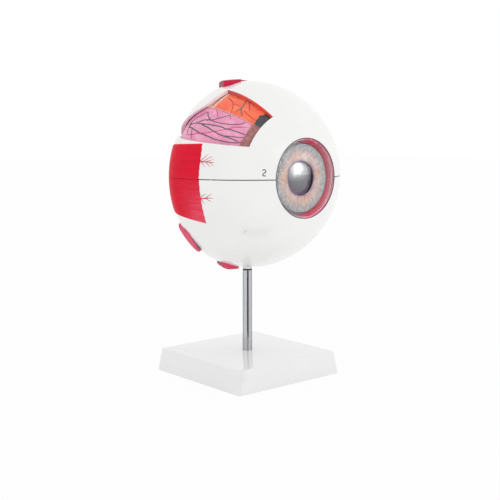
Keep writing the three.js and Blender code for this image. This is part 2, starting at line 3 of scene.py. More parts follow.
import bmesh
import bpy
import numpy as np
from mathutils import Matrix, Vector


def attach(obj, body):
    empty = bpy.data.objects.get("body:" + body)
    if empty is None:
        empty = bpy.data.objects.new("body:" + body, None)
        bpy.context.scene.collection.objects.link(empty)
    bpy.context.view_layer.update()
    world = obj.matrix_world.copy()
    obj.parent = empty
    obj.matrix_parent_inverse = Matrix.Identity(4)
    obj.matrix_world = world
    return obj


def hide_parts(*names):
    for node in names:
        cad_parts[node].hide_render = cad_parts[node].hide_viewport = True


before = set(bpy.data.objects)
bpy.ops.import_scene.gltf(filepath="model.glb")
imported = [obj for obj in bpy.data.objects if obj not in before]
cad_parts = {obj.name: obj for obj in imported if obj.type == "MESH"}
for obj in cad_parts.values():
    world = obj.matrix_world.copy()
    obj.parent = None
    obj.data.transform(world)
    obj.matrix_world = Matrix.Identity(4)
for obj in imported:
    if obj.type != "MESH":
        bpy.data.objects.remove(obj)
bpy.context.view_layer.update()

# Lengths are in millimetres until they reach a mesh, and angles in degrees. The optical axis runs
# along Y with the front at -Y. A place on the globe is an angle off the axis and an angle round
# it, from the temple side (0) over the top (90) to the nose side (180) and the underside (270).
MM = 0.001
EYE = 171.3                  # height of the optical axis
RADIUS = 78.7
DEPTH, FULLNESS = 40.5, 1.7  # how far the flattened rear reaches, and how full it is
SEAM = 0.2                   # from the seam's middle to the edge of each half
SCLERA, SCLERA_IN = 0, 3     # each layer's outside and inside, as insets from the globe's outline
CHOROID, CHOROID_IN = 3.4, 5.0
RETINA, RETINA_IN = 5.4, 7.0
VITREOUS, VITREOUS_IN = 7.4, 9.4


def placed(name, data):
    made = bpy.data.objects.new(name, data)
    bpy.context.scene.collection.objects.link(made)
    return made


# Camera

CAMERA_AT = (-0.5361, -0.6312, 0.2179)
camera = placed("camera", bpy.data.cameras.new("camera"))
camera.location = CAMERA_AT
camera.rotation_euler = Vector((0.6436, 0.7536, -0.1331)).to_track_quat("-Z", "Y").to_euler()
camera.data.lens, camera.data.sensor_width, camera.data.clip_start = 70.13, 36, 0.01
bpy.context.scene.camera = camera


# Form of the globe

STEP = 0.5
ANGLES = np.arange(0, 180 + STEP / 2, STEP)
BLUR = np.exp(-0.5 * (np.arange(-12, 12.1, STEP) / 4) ** 2)
BLUR /= BLUR.sum()
reaches = {}


def sin(angle):
    return np.sin(np.radians(angle))


def cos(angle):
    return np.cos(np.radians(angle))


def asin(value):
    return np.degrees(np.arcsin(value))


def acos(value):
    return np.degrees(np.arccos(value))


def flattened(angle, radius, depth):
    """Distance from the centre to a form that is round in front and flattened behind"""
    side, back = np.abs(sin(angle)), np.maximum(-cos(angle), 0)
    rear = np.maximum((side / radius) ** FULLNESS + (back / depth) ** FULLNESS, 1e-9)
    return np.where(back > 0, rear ** (-1 / FULLNESS), radius)


def reach(angle, inset):
    """Distance from the centre of the globe to a layer, softened where its form changes"""
    key = round(inset, 3)
    if key not in reaches:
        ring = flattened(ANGLES, RADIUS - inset, DEPTH - inset)
        pad = len(BLUR) // 2
        ring = np.concatenate([ring[pad:0:-1], ring, ring[-2:-pad - 2:-1]])
        reaches[key] = np.convolve(ring, BLUR, "valid")
    return np.interp(angle, ANGLES, reaches[key])


def ring_point(radius, along, around):
    return np.stack([-radius * cos(around), along + 0 * around, radius * sin(around)], -1)


def on_globe(angle, around, inset):
    r = reach(angle, inset)
    return ring_point(r * sin(angle), -r * cos(angle), around)


def radius_at(along, proud):
    """Distance of the globe's surface from the optical axis, at places along the axis"""
    t = np.linspace(5, 178, 700)
    r = reach(t, -proud)
    return np.interp(along, -r * cos(t), r * sin(t))


# Materials

def srgb(red, green, blue):
    def linear(v):
        v /= 255
        return v / 12.92 if v <= 0.04045 else ((v + 0.055) / 1.055) ** 2.4
    return (linear(red), linear(green), linear(blue), 1)


def linear_colour(colour):
    """Three numbers are a colour as a screen shows it, from 0 to 255, and four are linear light"""
    return srgb(*colour) if len(colour) == 3 else colour


def shades(colour, spread, low=0.35, high=0.65):
    """Two stops of a ramp: the colour a little darker, and a little lighter"""
    return [(place, tuple(min(v * share, 1) for v in linear_colour(colour)[:3]) + (1,))
            for place, share in ((low, 1 - spread), (high, 1 + spread))]


def two(first, second):
    return [(0.3, first), (0.7, second)]


class Look:
    """A material or world made of nodes, with a few short ways to add them"""

    def __init__(self, name, owner=None, shader="Principled BSDF"):
        self.material = owner or bpy.data.materials.new(name)
        self.material.use_nodes = True
        self.tree = self.material.node_tree
        self.shader = self.tree.nodes[shader]

    def add(self, kind, values=(), **settings):
        node = self.tree.nodes.new(kind)
        for key, value in settings.items():
            setattr(node, key, value)
        for socket, value in dict(values).items():
            self.feed(node.inputs[socket], value)
        return node

    def feed(self, socket, value):
        if isinstance(value, bpy.types.NodeSocket):
            self.tree.links.new(value, socket)
        else:
            socket.default_value = value

    def place(self, stretch=(1, 1, 1)):
        return self.add("ShaderNodeMapping", {
            "Vector": self.add("ShaderNodeTexCoord").outputs["Object"], "Scale": stretch,
        }).outputs["Vector"]

    def noise(self, size, stretch=(1, 1, 1), detail=4.0, twist=0.0):
        """Noise whose features measure about the size given, in millimetres"""
        return self.add("ShaderNodeTexNoise", {
            "Vector": self.place(stretch), "Scale": 1000 / size, "Detail": detail,
            "Roughness": 0.55, "Distortion": twist,
        }).outputs["Fac"]

    def ramp(self, factor, stops):
        node = self.add("ShaderNodeValToRGB", {"Fac": factor})
        elements = node.color_ramp.elements
        while len(elements) < len(stops):
            elements.new(0.5)
        for element, (position, colour) in zip(elements, stops):
            element.position = position
            element.color = linear_colour(colour)
        return node.outputs["Color"]

    def span(self, factor, low, high, from_low=0.3, from_high=0.7):
        return self.add("ShaderNodeMapRange", {
            "Value": factor, "From Min": from_low, "From Max": from_high,
            "To Min": low, "To Max": high,
        }).outputs["Result"]

    def math(self, operation, *values):
        return self.add("ShaderNodeMath", enumerate(values), operation=operation).outputs["Value"]

    def mix(self, factor, first, second):
        node = self.add("ShaderNodeMix", data_type="RGBA", blend_type="MIX")
        for socket, value in (("Factor", factor), (6, first), (7, second)):
            self.feed(node.inputs[socket], value)
        return node.outputs[2]

    def axes(self):
        node = self.add("ShaderNodeSeparateXYZ", {
            "Vector": self.add("ShaderNodeTexCoord").outputs["Object"],
        })
        return node.outputs["X"], node.outputs["Y"], node.outputs["Z"]

    def off_axis(self):
        """Distance sideways, upwards and straight from the optical axis, in metres"""
        x, _, z = self.axes()
        up = self.math("SUBTRACT", z, EYE * MM)
        squares = [self.math("MULTIPLY", v, v) for v in (x, up)]
        return x, up, self.math("SQRT", self.math("ADD", *squares))

    def seen(self):
        """1 for what the camera sees directly, in a reflection or through something clear"""
        path = self.add("ShaderNodeLightPath").outputs
        mirrored = self.math("MAXIMUM", path["Is Camera Ray"], path["Is Glossy Ray"])
        return self.math("MAXIMUM", mirrored, path["Is Transmission Ray"])

    def cover(self, share, shader):
        """Shows another shader in front of this one, by the share given"""
        both = self.add("ShaderNodeMixShader", {0: share, 1: self.shader.outputs["BSDF"],
                                                2: shader.outputs[0]})
        self.feed(self.tree.nodes["Material Output"].inputs["Surface"], both.outputs["Shader"])

    def relief(self, height, depth):
        """Bump of the depth given, in millimetres, which completes the material"""
        self.set(Normal=self.add("ShaderNodeBump", {
            "Height": height, "Distance": depth * MM, "Strength": 1.0,
        }).outputs["Normal"])
        return self.material

    def set(self, **values):
        for key, value in values.items():
            self.feed(self.shader.inputs[key.replace("_", " ")], value)


def painted(name, stops, size, rough, grain, depth, stretch=(1, 1, 1), coat=0.0):
    """Paint or plastic: colours that follow a noise, a range of roughness, and a fine grain"""
    look = Look(name)
    blotch = look.noise(size, stretch)
    look.set(Base_Color=look.ramp(blotch, stops), Roughness=look.span(blotch, *rough),
             Coat_Weight=coat, Coat_Roughness=0.08)
    return look.relief(look.noise(grain, stretch), depth)


def graded(name, axis, reach_of, stops, size, rough, grain, depth, coat=0.0):
    """Paint whose colour changes along an axis, between two places in millimetres"""
    look = Look(name)
    blotch = look.noise(size)
    place = look.span(look.axes()[axis], 0, 1, reach_of[0] * MM, reach_of[1] * MM)
    drift = look.math("MULTIPLY", look.math("SUBTRACT", blotch, 0.5), 0.12)
    look.set(Base_Color=look.ramp(look.math("ADD", place, drift), stops),
             Roughness=look.span(blotch, *rough), Coat_Weight=coat)
    return look.relief(look.noise(grain), depth)


def muscle_look(name, colour, fibre, pale=0.0):
    """Red paint over fine raised fibres that run along the strap, paler low down at the front"""
    look = Look(name)
    strands = look.noise(1.1, fibre, detail=3)
    cloud = look.noise(16)
    base = look.ramp(strands, shades(colour, 0.1, 0.3, 0.7))
    _, along, height = look.axes()
    front = look.span(along, pale, 0, -28 * MM, -6 * MM)
    low = look.span(height, 1, 0, (EYE - 32) * MM, (EYE + 4) * MM)
    fade = look.math("MULTIPLY", look.math("MULTIPLY", front, low), look.span(strands, 0.6, 1.4))
    base = look.mix(fade, base, srgb(244, 116, 140))
    look.set(Base_Color=look.mix(look.span(cloud, 0, 0.35), base, srgb(202, 18, 46)),
             Roughness=look.span(strands, 0.34, 0.5), Specular_IOR_Level=0.08)
    return look.relief(strands, 0.14)


def skin_look(name, stops, veil, streak):
    """Painted layer inside the globe: cloudy colour, soft streaks that run from front to back"""
    look = Look(name)
    cloud = look.noise(7, detail=5, twist=0.6)
    lines = look.noise(3, (1, 0.2, 0.6), detail=3)
    look.set(Base_Color=look.mix(look.span(lines, 0, veil), look.ramp(cloud, stops), streak),
             Roughness=look.span(cloud, 0.26, 0.42), Coat_Weight=0.1, Coat_Roughness=0.15)
    return look.relief(look.noise(2.2, (1, 0.4, 1)), 0.06)


def steel_look():
    """Drawn steel rod: fine lines along it"""
    look = Look("steel")
    lines = look.noise(0.5, (1, 1, 0.01), detail=3)
    cloud = look.noise(12, (1, 1, 0.2))
    look.set(Base_Color=look.ramp(lines, two((176, 177, 180), (206, 207, 209))), Metallic=1.0,
             Roughness=look.span(cloud, 0.12, 0.18), Specular_Tint=(0.1, 0.1, 0.1, 1))
    return look.relief(lines, 0.01)


def clear_look(name, tint, rough, ior):
    """Clear moulded plastic, which lets the lamps shine through it"""
    look = Look(name)
    swirl = look.noise(20)
    look.set(Base_Color=look.ramp(swirl, shades(tint, 0.01)), Roughness=look.span(swirl, *rough),
             Transmission_Weight=1.0, IOR=ior)
    look.relief(swirl, 0.01)
    look.cover(look.add("ShaderNodeLightPath").outputs["Is Shadow Ray"],
               look.add("ShaderNodeBsdfTransparent", {"Color": (1, 1, 1, 1)}))
    return look.material


def lens_look():
    """Smoke-grey moulded lens with painted shade, darker low down and lighter above, and a purple
    border that is painted paler outwards to lift the shade under the iris
    """
    look = Look("lens_grey")
    _, up, away = look.off_axis()
    cloud = look.noise(10)
    # Painted shade and highlight: the colour runs from dark at the foot of the lens to light at its
    # top
    shade_by_height = look.span(up, 0, 1, -16 * MM, 16 * MM)
    body = look.ramp(look.math("ADD", shade_by_height, look.math("MULTIPLY", cloud, 0.15)), [
        (0.1, (50, 44, 54)), (0.3, (86, 80, 88)), (0.5, (88, 88, 90)), (0.72, (126, 128, 126)),
        (1.0, (160, 164, 162)),
    ])
    # The border is painted paler outwards, a painted lift of the shade that falls on the lens under
    # the iris
    border = look.ramp(look.span(away, 0, 1, 12 * MM, 15.5 * MM),
                       [(0.2, (124, 96, 134)), (1.0, (226, 204, 232))])
    look.set(Base_Color=look.mix(look.span(away, 0, 1, 10.5 * MM, 14.5 * MM), body, border),
             Roughness=look.span(cloud, 0.2, 0.28), Coat_Weight=1.0, Coat_Roughness=0.26)
    return look.relief(cloud, 0.01)


PUPIL, IRIS_RADIUS = 14.2, 27.4


def iris_look():
    """Painted iris: a grey outer ring, a tan inner ring, and streaks that run to the pupil"""
    look = Look("iris_paint")
    x, up, radius = look.off_axis()
    polar = look.add("ShaderNodeCombineXYZ", {
        "X": look.math("DIVIDE", x, radius), "Y": look.math("DIVIDE", up, radius),
        "Z": look.math("MULTIPLY", radius, 18),
    }).outputs["Vector"]
    streaks, patches = [look.add("ShaderNodeTexNoise", {
        "Vector": polar, "Scale": scale, "Detail": detail, "Roughness": rough,
    }).outputs["Fac"] for scale, detail, rough in ((17.0, 6.0, 0.62), (2.6, 2.0, 0.5))]
    outwards = look.span(radius, 0, 1, (PUPIL - 0.4) * MM, IRIS_RADIUS * MM)
    wander = look.math("MULTIPLY", look.math("SUBTRACT", streaks, 0.5), 0.3)
    place = look.math("ADD", outwards, wander)
    ring = look.ramp(place, [
        (0.0, (112, 88, 120)), (0.07, (128, 102, 114)), (0.16, (166, 140, 134)),
        (0.42, (172, 146, 136)), (0.62, (146, 136, 138)), (0.84, (134, 140, 138)),
        (1.0, (104, 108, 108)),
    ])
    warm = look.ramp(place, [
        (0.0, (112, 88, 120)), (0.12, (158, 122, 108)), (0.3, (186, 140, 108)),
        (0.5, (176, 142, 122)), (0.75, (138, 134, 134)), (1.0, (104, 108, 108)),
    ])
    colour = look.mix(look.span(patches, 0, 1, 0.46, 0.6), ring, warm)
    light = look.ramp(streaks, [(0.4, (0, 0, 0, 1)), (0.75, (1, 1, 1, 1))])
    look.set(Base_Color=look.mix(look.math("MULTIPLY", light, 0.55), colour, srgb(214, 208, 208)),
             Roughness=look.span(streaks, 0.4, 0.55), Specular_IOR_Level=0.25)
    return look.relief(streaks, 0.25)


white_shell = painted("white_shell", shades((244, 244, 243), 0.012), 30, (0.17, 0.24), 9, 0.02,
                      coat=0.25)
white_base = painted("white_base", shades((239, 239, 239), 0.01), 40, (0.1, 0.16), 18, 0.004,
                     coat=0.35)
cut_white = painted("cut_white", shades((255, 226, 226), 0.03), 6, (0.3, 0.4), 2, 0.03)
muscle_side = muscle_look("muscle_side", (228, 26, 54), (0.12, 0.07, 1), 0.55)
muscle_top = muscle_look("muscle_top", (204, 46, 80), (1, 0.07, 0.3))
muscle_under = muscle_look("muscle_under", (222, 92, 122), (1, 0.07, 0.3))
oblique_pink = muscle_look("oblique_pink", (230, 100, 128), (0.3, 1, 0.08))
muscle_cut = painted("muscle_cut", two((110, 52, 66), (150, 84, 98)), 1.5, (0.45, 0.6), 1, 0.12)
# Grey of the obliques' cut side, also used as painted shadow at the foot of their front end, where
# the strap meets the globe
oblique_cut = painted("oblique_cut", two((96, 84, 94), (132, 116, 124)), 1.5, (0.45, 0.6), 1, 0.12)
muscle_edge = painted("muscle_edge", two((140, 24, 52), (176, 38, 68)), 2, (0.4, 0.55), 1, 0.06)
nerve_skin = painted("nerve_skin", shades((236, 214, 152), 0.08), 3, (0.4, 0.55), 1.2, 0.1,
                     stretch=(1, 0.15, 1))
nerve_core = painted("nerve_core", shades((246, 236, 206), 0.06), 1.2, (0.45, 0.6), 0.7, 0.12)
window_top = graded("window_top", 1, (-50, -12), [
    (0.0, (250, 84, 70)), (0.45, (240, 92, 80)), (0.75, (208, 92, 108)), (0.93, (196, 84, 104)),
    (1.0, (120, 40, 60)),
], 5, (0.35, 0.5), 2, 0.05)
window_rear = painted("window_rear", two((250, 226, 236), (252, 244, 246)), 6, (0.35, 0.5), 2, 0.05)
# Painted light: towards the temple side both cone colours turn a washed-out grey, which copies how
# that side looks and not the cone's own pink
cone_pink = graded("cone_pink", 0, (-9, 9), [
    (0.0, (176, 164, 172)), (0.4, (206, 146, 164)), (0.7, (246, 108, 140)), (1.0, (250, 124, 154)),
], 4, (0.25, 0.4), 2, 0.05, coat=0.2)
# The dark red behind the pink is partly the ciliary body's own colour and partly painted shade
# inside the chamber
cone_red_and_shade = graded("cone_red_and_shade", 0, (-9, 7), [
    (0.0, (140, 128, 136)), (0.5, (158, 88, 106)), (1.0, (190, 34, 64)),
], 3, (0.3, 0.45), 2, 0.06)
ciliary_brown = painted("ciliary_brown", [
    (0.32, (148, 88, 90)), (0.55, (170, 112, 110)), (0.72, (194, 142, 130)),
], 3, (0.4, 0.55), 1, 0.12)
ciliary_black = painted("ciliary_black", two((52, 53, 55), (84, 84, 86)), 2.5, (0.4, 0.55), 1, 0.12)
ciliary_inside = painted("ciliary_inside", two((92, 34, 40), (128, 56, 58)), 2, (0.4, 0.6), 1, 0.2)
retina_inside = painted("retina_inside", two((226, 120, 92), (240, 156, 120)), 14, (0.35, 0.5), 2,
                        0.04)
choroid_inside = painted("choroid_inside", two((150, 60, 48), (178, 80, 60)), 10, (0.4, 0.55), 2,
                         0.05)
choroid_band = painted("choroid_band", two((246, 168, 140), (248, 204, 188)), 5, (0.35, 0.5), 2,
                       0.04)
retina_pink = skin_look("retina_pink", [
    (0.3, (232, 140, 176)), (0.5, (240, 162, 194)), (0.7, (252, 186, 210)),
], 0.4, srgb(224, 122, 158))
choroid_orange = skin_look("choroid_orange", [
    (0.3, (252, 98, 74)), (0.5, (255, 118, 76)), (0.7, (255, 146, 92)),
], 0.35, srgb(250, 84, 68))
vein_grey, vein_brown, artery_rose, artery_red, sprig_red = [
    painted(name, shades(colour, spread), 2, (0.35, 0.5), 1, 0.02) for name, colour, spread in (
        ("vein_grey", (92, 86, 104), 0.12), ("vein_brown", (130, 98, 92), 0.12),
        ("artery_rose", (206, 52, 112), 0.1), ("artery_red", (196, 40, 44), 0.1),
        ("sprig_red", (208, 36, 66), 0.1))]
mark_grey = painted("mark_grey", shades((66, 66, 70), 0.1), 2, (0.4, 0.5), 1, 0.01)
mark_pale = painted("mark_pale", shades((214, 214, 214), 0.05), 2, (0.3, 0.4), 1, 0.01)
rubber = painted("rubber", shades((44, 44, 46), 0.1), 3, (0.6, 0.75), 1, 0.04)
# Painted shade: a dark grey for the line in the seam between the white halves and round the edge of
# the cornea, where the gap looks dark
rim_shade_grey = painted("rim_shade_grey", shades((96, 92, 98), 0.1), 2, (0.25, 0.4), 1, 0.02)
steel = steel_look()
clear_cornea = clear_look("clear_cornea", (0.97, 0.98, 0.99, 1), (0.03, 0.06), 1.18)
clear_body = clear_look("clear_body", (0.97, 0.985, 0.99, 1), (0.02, 0.05), 1.3)
lens_grey = lens_look()
iris_paint = iris_look()


# Mesh helpers

def finish_mesh(name, mesh, materials, body, slot, nodes=(), sharp=40):
    mesh.shade_smooth()
    mesh.set_sharp_from_angle(angle=math.radians(sharp))
    piece = placed(name, mesh)
    for material in materials:
        mesh.materials.append(material)
    if nodes:
        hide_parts(*nodes)
    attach(piece, body)
    return piece


def as_mesh(name, bm):
    mesh = bpy.data.meshes.new(name)
    bm.to_mesh(mesh)
    bm.free()
    return mesh


def clean(bm, weld=0.002):
    bmesh.ops.remove_doubles(bm, verts=bm.verts, dist=weld * MM)
    bmesh.ops.dissolve_degenerate(bm, edges=bm.edges, dist=weld * MM)
    bmesh.ops.recalc_face_normals(bm, faces=bm.faces)
    return bm


def put(bm, point):
    return bm.verts.new((point[0] * MM, point[1] * MM, (point[2] + EYE) * MM))


def band(bm, a, b, closed=False):
    """Faces between two lines of points"""
    follow = [*range(1, len(a)), 0] if closed else range(1, len(a))
    return [bm.faces.new((a[i], a[j], b[j], b[i])) for i, j in enumerate(follow)]


def tube(bm, rows):
    """A closed solid through rings of points"""
    for a, b in zip(rows, rows[1:]):
        band(bm, a, b, True)
    bm.faces.new(rows[0])
    bm.faces.new(rows[-1])


def cut(piece, operation, tools):
    """Joins solids to a piece, or takes them away from it, for good"""
    for tool in tools:
        step = piece.modifiers.new("step", "BOOLEAN")
        step.operation, step.solver, step.object = operation, "EXACT", tool
    graph = bpy.context.evaluated_depsgraph_get()
    mesh = bpy.data.meshes.new_from_object(piece.evaluated_get(graph))
    piece.modifiers.clear()
    old, piece.data = piece.data, mesh
    bpy.data.meshes.remove(old)
    for tool in tools:
        data = tool.data
        bpy.data.objects.remove(tool)
        bpy.data.meshes.remove(data)


def tool_pin(radius, low, high, x=0.0, y=0.0, steps=48):
    bm = bmesh.new()
    bmesh.ops.create_cone(bm, cap_ends=True, segments=steps, radius1=radius * MM,
                          radius2=radius * MM, depth=(high - low) * MM)
    bmesh.ops.translate(bm, verts=bm.verts, vec=(x * MM, y * MM, (low + high) / 2 * MM))
    return placed("tool", as_mesh("tool", bm))


def tool_block(low, high):
    bm = bmesh.new()
    bmesh.ops.create_cube(bm, size=1)
    for v in bm.verts:
        v.co = [(low[i] + (v.co[i] + 0.5) * (high[i] - low[i])) * MM for i in range(3)]
    return placed("tool", as_mesh("tool", bm))


def ring(steps):
    return np.arange(steps) * 360 / steps


def lathe(name, profile, materials, body, slot, nodes, paint=None, sharp=40, around=ring(96),
          move=None):
    """A body turned about the optical axis, or half of one. move changes the points of each line.
    The profile of a half is closed, and its points may depend on the angle round the axis."""
    bm = bmesh.new()
    rows = []
    for radius, along in profile:
        points = ring_point(radius + 0 * around, along, around)
        rows.append([put(bm, p) for p in (move(points) if move else points)])
    whole = np.ptp(around) > 180
    follow = rows[1:] + rows[:1] if np.all(profile[0][0]) else rows[1:]
    for k, (a, b) in enumerate(zip(rows, follow)):
        for face, angle in zip(band(bm, a, b, whole), around):
            face.material_index = paint(k, angle) if paint else 0
    for end in () if whole else (0, -1):
        bm.faces.new([row[end] for row in rows])
    return finish_mesh(name, as_mesh(name, clean(bm)), materials, body, slot, nodes, sharp)


def side_of(top):
    return "upper" if top else "lower"


def turned(columns, top):
    return columns + (0 if top else 180)


def half_turn(top, steps=180):
    """Angles round the axis from one edge of a half to the other"""
    return turned(np.linspace(0, 180, steps + 1), top)


def clamped(points, top, seam=SEAM):
    """Points of a half that reach over the seam are brought back to its edge"""
    points[..., 2] = np.maximum(points[..., 2], seam) if top else np.minimum(points[..., 2], -seam)
    return points


OUTER, INNER, WALL_FACE, SEAM_FACE, LIP_FACE = range(5)


def shell(name, insets, rows, columns, top, kept, walls, lip, materials, body, slot, nodes,
          soft_edge, inside=0, paint=None, lifted=0.0, seam_shade=-1):
    """Half of a hollow layer with openings. rows(inset) gives the places of the lines of the grid:
    angles off the axis, angles round it, and the share by which the outer surface is lifted towards
    a higher layer. kept says which cells stay. walls gives the material of a cut face by where it
    lies. lip is the profile of the front edge, from the outside in, each point with the material
    that leads to it. paint gives the material of a cell of the outer surface."""
    bm = bmesh.new()
    kind = bm.faces.layers.int.new("kind")
    grids = []
    for inset in insets:
        lines, around, raised = (*rows(inset), 0)[:3]
        points = on_globe(lines, around, inset)
        if np.any(raised) and inset == insets[0]:
            points += (on_globe(lines, around, lifted) - points) * raised[..., None]
        grids.append([[put(bm, p) for p in line] for line in clamped(points, top)])
    outer, inner = grids
    count, wide = len(outer) - 1, len(columns) - 1
    keep = np.zeros((count + 2, wide + 2), bool)
    keep[1:-1, 1:-1] = kept(count, wide)

    def face(corners, tag, index):
        new = bm.faces.new(corners)
        new[kind], new.material_index = tag, index

    lips = [[put(bm, p) for p in clamped(ring_point(r + 0 * columns, y, columns), top)]
            for r, y, _ in lip]
    for i, j in zip(*np.nonzero(keep[1:-1, 1:-1])):
        for tag, grid in (OUTER, outer), (INNER, inner):
            face((grid[i][j], grid[i][j + 1], grid[i + 1][j + 1], grid[i + 1][j]), tag,
                 inside if tag == INNER else paint(i, j) if paint else 0)
        for filled, a, b, where in (
                (keep[i + 2, j + 1], (i + 1, j), (i + 1, j + 1), "front"),
                (keep[i, j + 1], (i, j), (i, j + 1), "rear"),
                (keep[i + 1, j], (i, j), (i + 1, j), "high"),
                (keep[i + 1, j + 2], (i, j + 1), (i + 1, j + 1), "low")):
            if filled or (where == "front" and i == count - 1):
                continue
            if where == "rear" and i == 0:
                if not lips:
                    face((outer[0][j], outer[0][j + 1], inner[0][j + 1], inner[0][j]), WALL_FACE, 0)
                continue
            seam = (where == "high" and j == 0) or (where == "low" and j == wide - 1)
            face((outer[a[0]][a[1]], outer[b[0]][b[1]], inner[b[0]][b[1]], inner[a[0]][a[1]]),
                 SEAM_FACE if seam else WALL_FACE, 0 if seam else walls.get(where, 0))
    if lips:
        rings = [outer[0], *lips, inner[0]]
        paints = [index for _, _, index in lip]
        for a, b, index in zip(rings, rings[1:], paints + paints[-1:]):
            for j in range(wide):
                face((a[j], a[j + 1], b[j + 1], b[j]), LIP_FACE, index)
        for j in (0, wide):
            face([ring[j] for ring in rings], SEAM_FACE, 0)
    clean(bm)
    # The seam's bevels take the seam material given: on the sclera a dark grey, painted shade of
    # the gap between the halves
    for tags, width, line in (({OUTER, WALL_FACE}, soft_edge, -1),
                              ({OUTER, SEAM_FACE}, 0.2, seam_shade)):
        chosen = [e for e in bm.edges if len(e.link_faces) == 2
                  and {f[kind] for f in e.link_faces} == tags
                  and max(v.co.y for v in e.verts) < (DEPTH - 8) * MM]
        if chosen:
            bmesh.ops.bevel(bm, geom=chosen, offset=width * MM, segments=2, profile=0.5,
                            affect="EDGES", clamp_overlap=True, material=line)
    return finish_mesh(name, as_mesh(name, bm), materials, body, slot, nodes, 35)


def slab(name, upper, under, materials, body, slot, nodes, ends, soft=0.4):
    """A closed body between two grids of points, with rounded edges. ends gives the material of the
    walls at the first and last row, then at the first and last column, where a pair gives the
    height and the row from which the foot of the wall has the second material."""
    bm = bmesh.new()
    a, b = [[[put(bm, p) for p in line] for line in grid] for grid in (upper, under)]
    n = len(a) - 1
    for grid in (a, b):
        for i in range(n):
            band(bm, grid[i], grid[i + 1])
    for i, index in ((0, ends[0]), (-1, ends[1])):
        for face in band(bm, a[i], b[i]):
            face.material_index = index
    for j, index in ((0, ends[2]), (-1, ends[3])):
        share, start = index if isinstance(index, tuple) else (0.5, 0)
        middle = [bm.verts.new(u[j].co.lerp(v[j].co, share)) for u, v in zip(a, b)]
        head, foot = [row[j] for row in a], [row[j] for row in b]
        for low, first, last in ((False, head, middle), (True, middle, foot)):
            for i, wall in enumerate(band(bm, first, last)):
                wall.material_index = (index if isinstance(index, int)
                                       else int(low and i >= start * n))
    piece = finish_mesh(name, as_mesh(name, clean(bm)), materials, body, slot, nodes)
    edge = piece.modifiers.new("edge", "BEVEL")
    edge.width, edge.segments, edge.limit_method = soft * MM, 3, "ANGLE"
    edge.angle_limit = math.radians(40)
    edge.use_clamp_overlap = True
    return piece


def smooth_path(points, step):
    """Points every step or so along a smooth curve through those given"""
    points = np.array(points, float)
    ends = np.vstack([2 * points[0] - points[1], points, 2 * points[-1] - points[-2]])
    out = []
    for a, b, c, d in zip(ends, ends[1:], ends[2:], ends[3:]):
        count = max(2, int(np.ceil(np.linalg.norm(c - b) / step)))
        for s in np.arange(count) / count:
            out.append(0.5 * (2 * b + (c - a) * s + (2 * a - 5 * b + 4 * c - d) * s ** 2
                              + (3 * b - a - 3 * c + d) * s ** 3))
    return np.array([*out, points[-1]])


COLUMN = 2.5                 # degrees between the columns of the layers

# Cross-section of a painted line, in shares of its width and of its height
SECTION = [(-0.5, 0.0), (-0.4, 0.6), (-0.2, 0.92), (0.0, 1.0), (0.2, 0.92), (0.4, 0.6), (0.5, 0.0)]


def strands(name, lines, inset, height, material, body, slot, step=0.6, taper=0.45):
    """Raised painted lines on a layer. Each line has its width, then its places on the globe."""
    bm = bmesh.new()
    for width, *places in lines:
        path = smooth_path(places, step)
        middle = on_globe(path[:, 0], path[:, 1], inset)
        away = on_globe(path[:, 0], path[:, 1], inset - 1) - middle
        away /= np.linalg.norm(away, axis=1, keepdims=True)
        across = np.cross(away, np.gradient(middle, axis=0))
        across /= np.linalg.norm(across, axis=1, keepdims=True)
        size = width * (1 - taper * np.linspace(0, 1, len(path)) ** 1.3)
        size[0] *= 0.5
        size[-1] *= 0.25
        rings = []
        for m, up, side, wide in zip(middle, away, across, size):
            ring = [m + side * wide * s + up * (height * h * min(1, wide / width + 0.3))
                    for s, h in SECTION]
            rings.append([put(bm, p) for p in (*ring, m - up * 0.06)])
        tube(bm, rings)
    return finish_mesh(name, as_mesh(name, clean(bm, 0.001)), [material], body, slot, sharp=60)


def nearest(values, mark):
    return int(np.abs(values - mark).argmin())


def snapped(marks):
    """Regular columns round half of the globe, the nearest of them moved onto each mark"""
    values = np.arange(0, 180 + COLUMN / 2, COLUMN)
    for mark in marks:
        values[nearest(values, mark)] = mark
    return values


def straight(lines, columns, top):
    """Grid whose rows lie at the same angle off the axis all the way round"""
    lines = np.repeat(lines[:, None], len(columns), 1)
    return lines, turned(columns, top) + 0 * lines


# Sclera: the white outer shell, with the window in its upper half

SEAT_RADIUS, SEAT_Y, EDGE_Y = 32.2, -70.34, -71.94
LIP_RADIUS, LIP_Y = 30.29, -69.38
IRIS_Y = -66.34
WINDOW_FRONT, WINDOW_LOW, WINDOW_HIGH = 42.8, 25, 65
WINDOW_FLOOR, FLOOR_SLOPE = 31.3, math.tan(math.radians(6))
CORNER_Y, CORNER_Z = -10.8, 58
REAR_SLOPES = math.tan(math.radians(16)), math.tan(math.radians(52))
FRONT_ROWS, WINDOW_ROWS, REAR_ROWS = 8, 20, 36


def crossing(places, values):
    """The first place where the values rise through zero"""
    k = int(np.argmax(values > 0))
    return float(np.interp(0, values[k - 1:k + 1], places[k - 1:k + 1]))


def rear_limit(z):
    """Place along the axis where the window ends behind, at a height over the axis"""
    return np.max([CORNER_Y - (z - CORNER_Z) * slope for slope in REAR_SLOPES], axis=0)


def rear_curve(low, inset, count):
    """Evenly spaced places along the rear edge of the window, from its lower corner upwards"""
    z = np.linspace(low, 74, 600)
    y = rear_limit(z)
    away = radius_at(y, -inset)
    around = asin(np.clip(z / away, 0, 1))
    keep = around <= WINDOW_HIGH
    z, y, away, around = z[keep], y[keep], away[keep], around[keep]
    steps = np.diff([away * cos(around), y, z])
    run = np.concatenate([[0], np.cumsum(np.sqrt((steps ** 2).sum(axis=0)))])
    even = np.linspace(0, run[-1], count)
    angle = np.degrees(np.arctan2(away, -y))
    return np.interp(even, run, angle), np.interp(even, run, around)


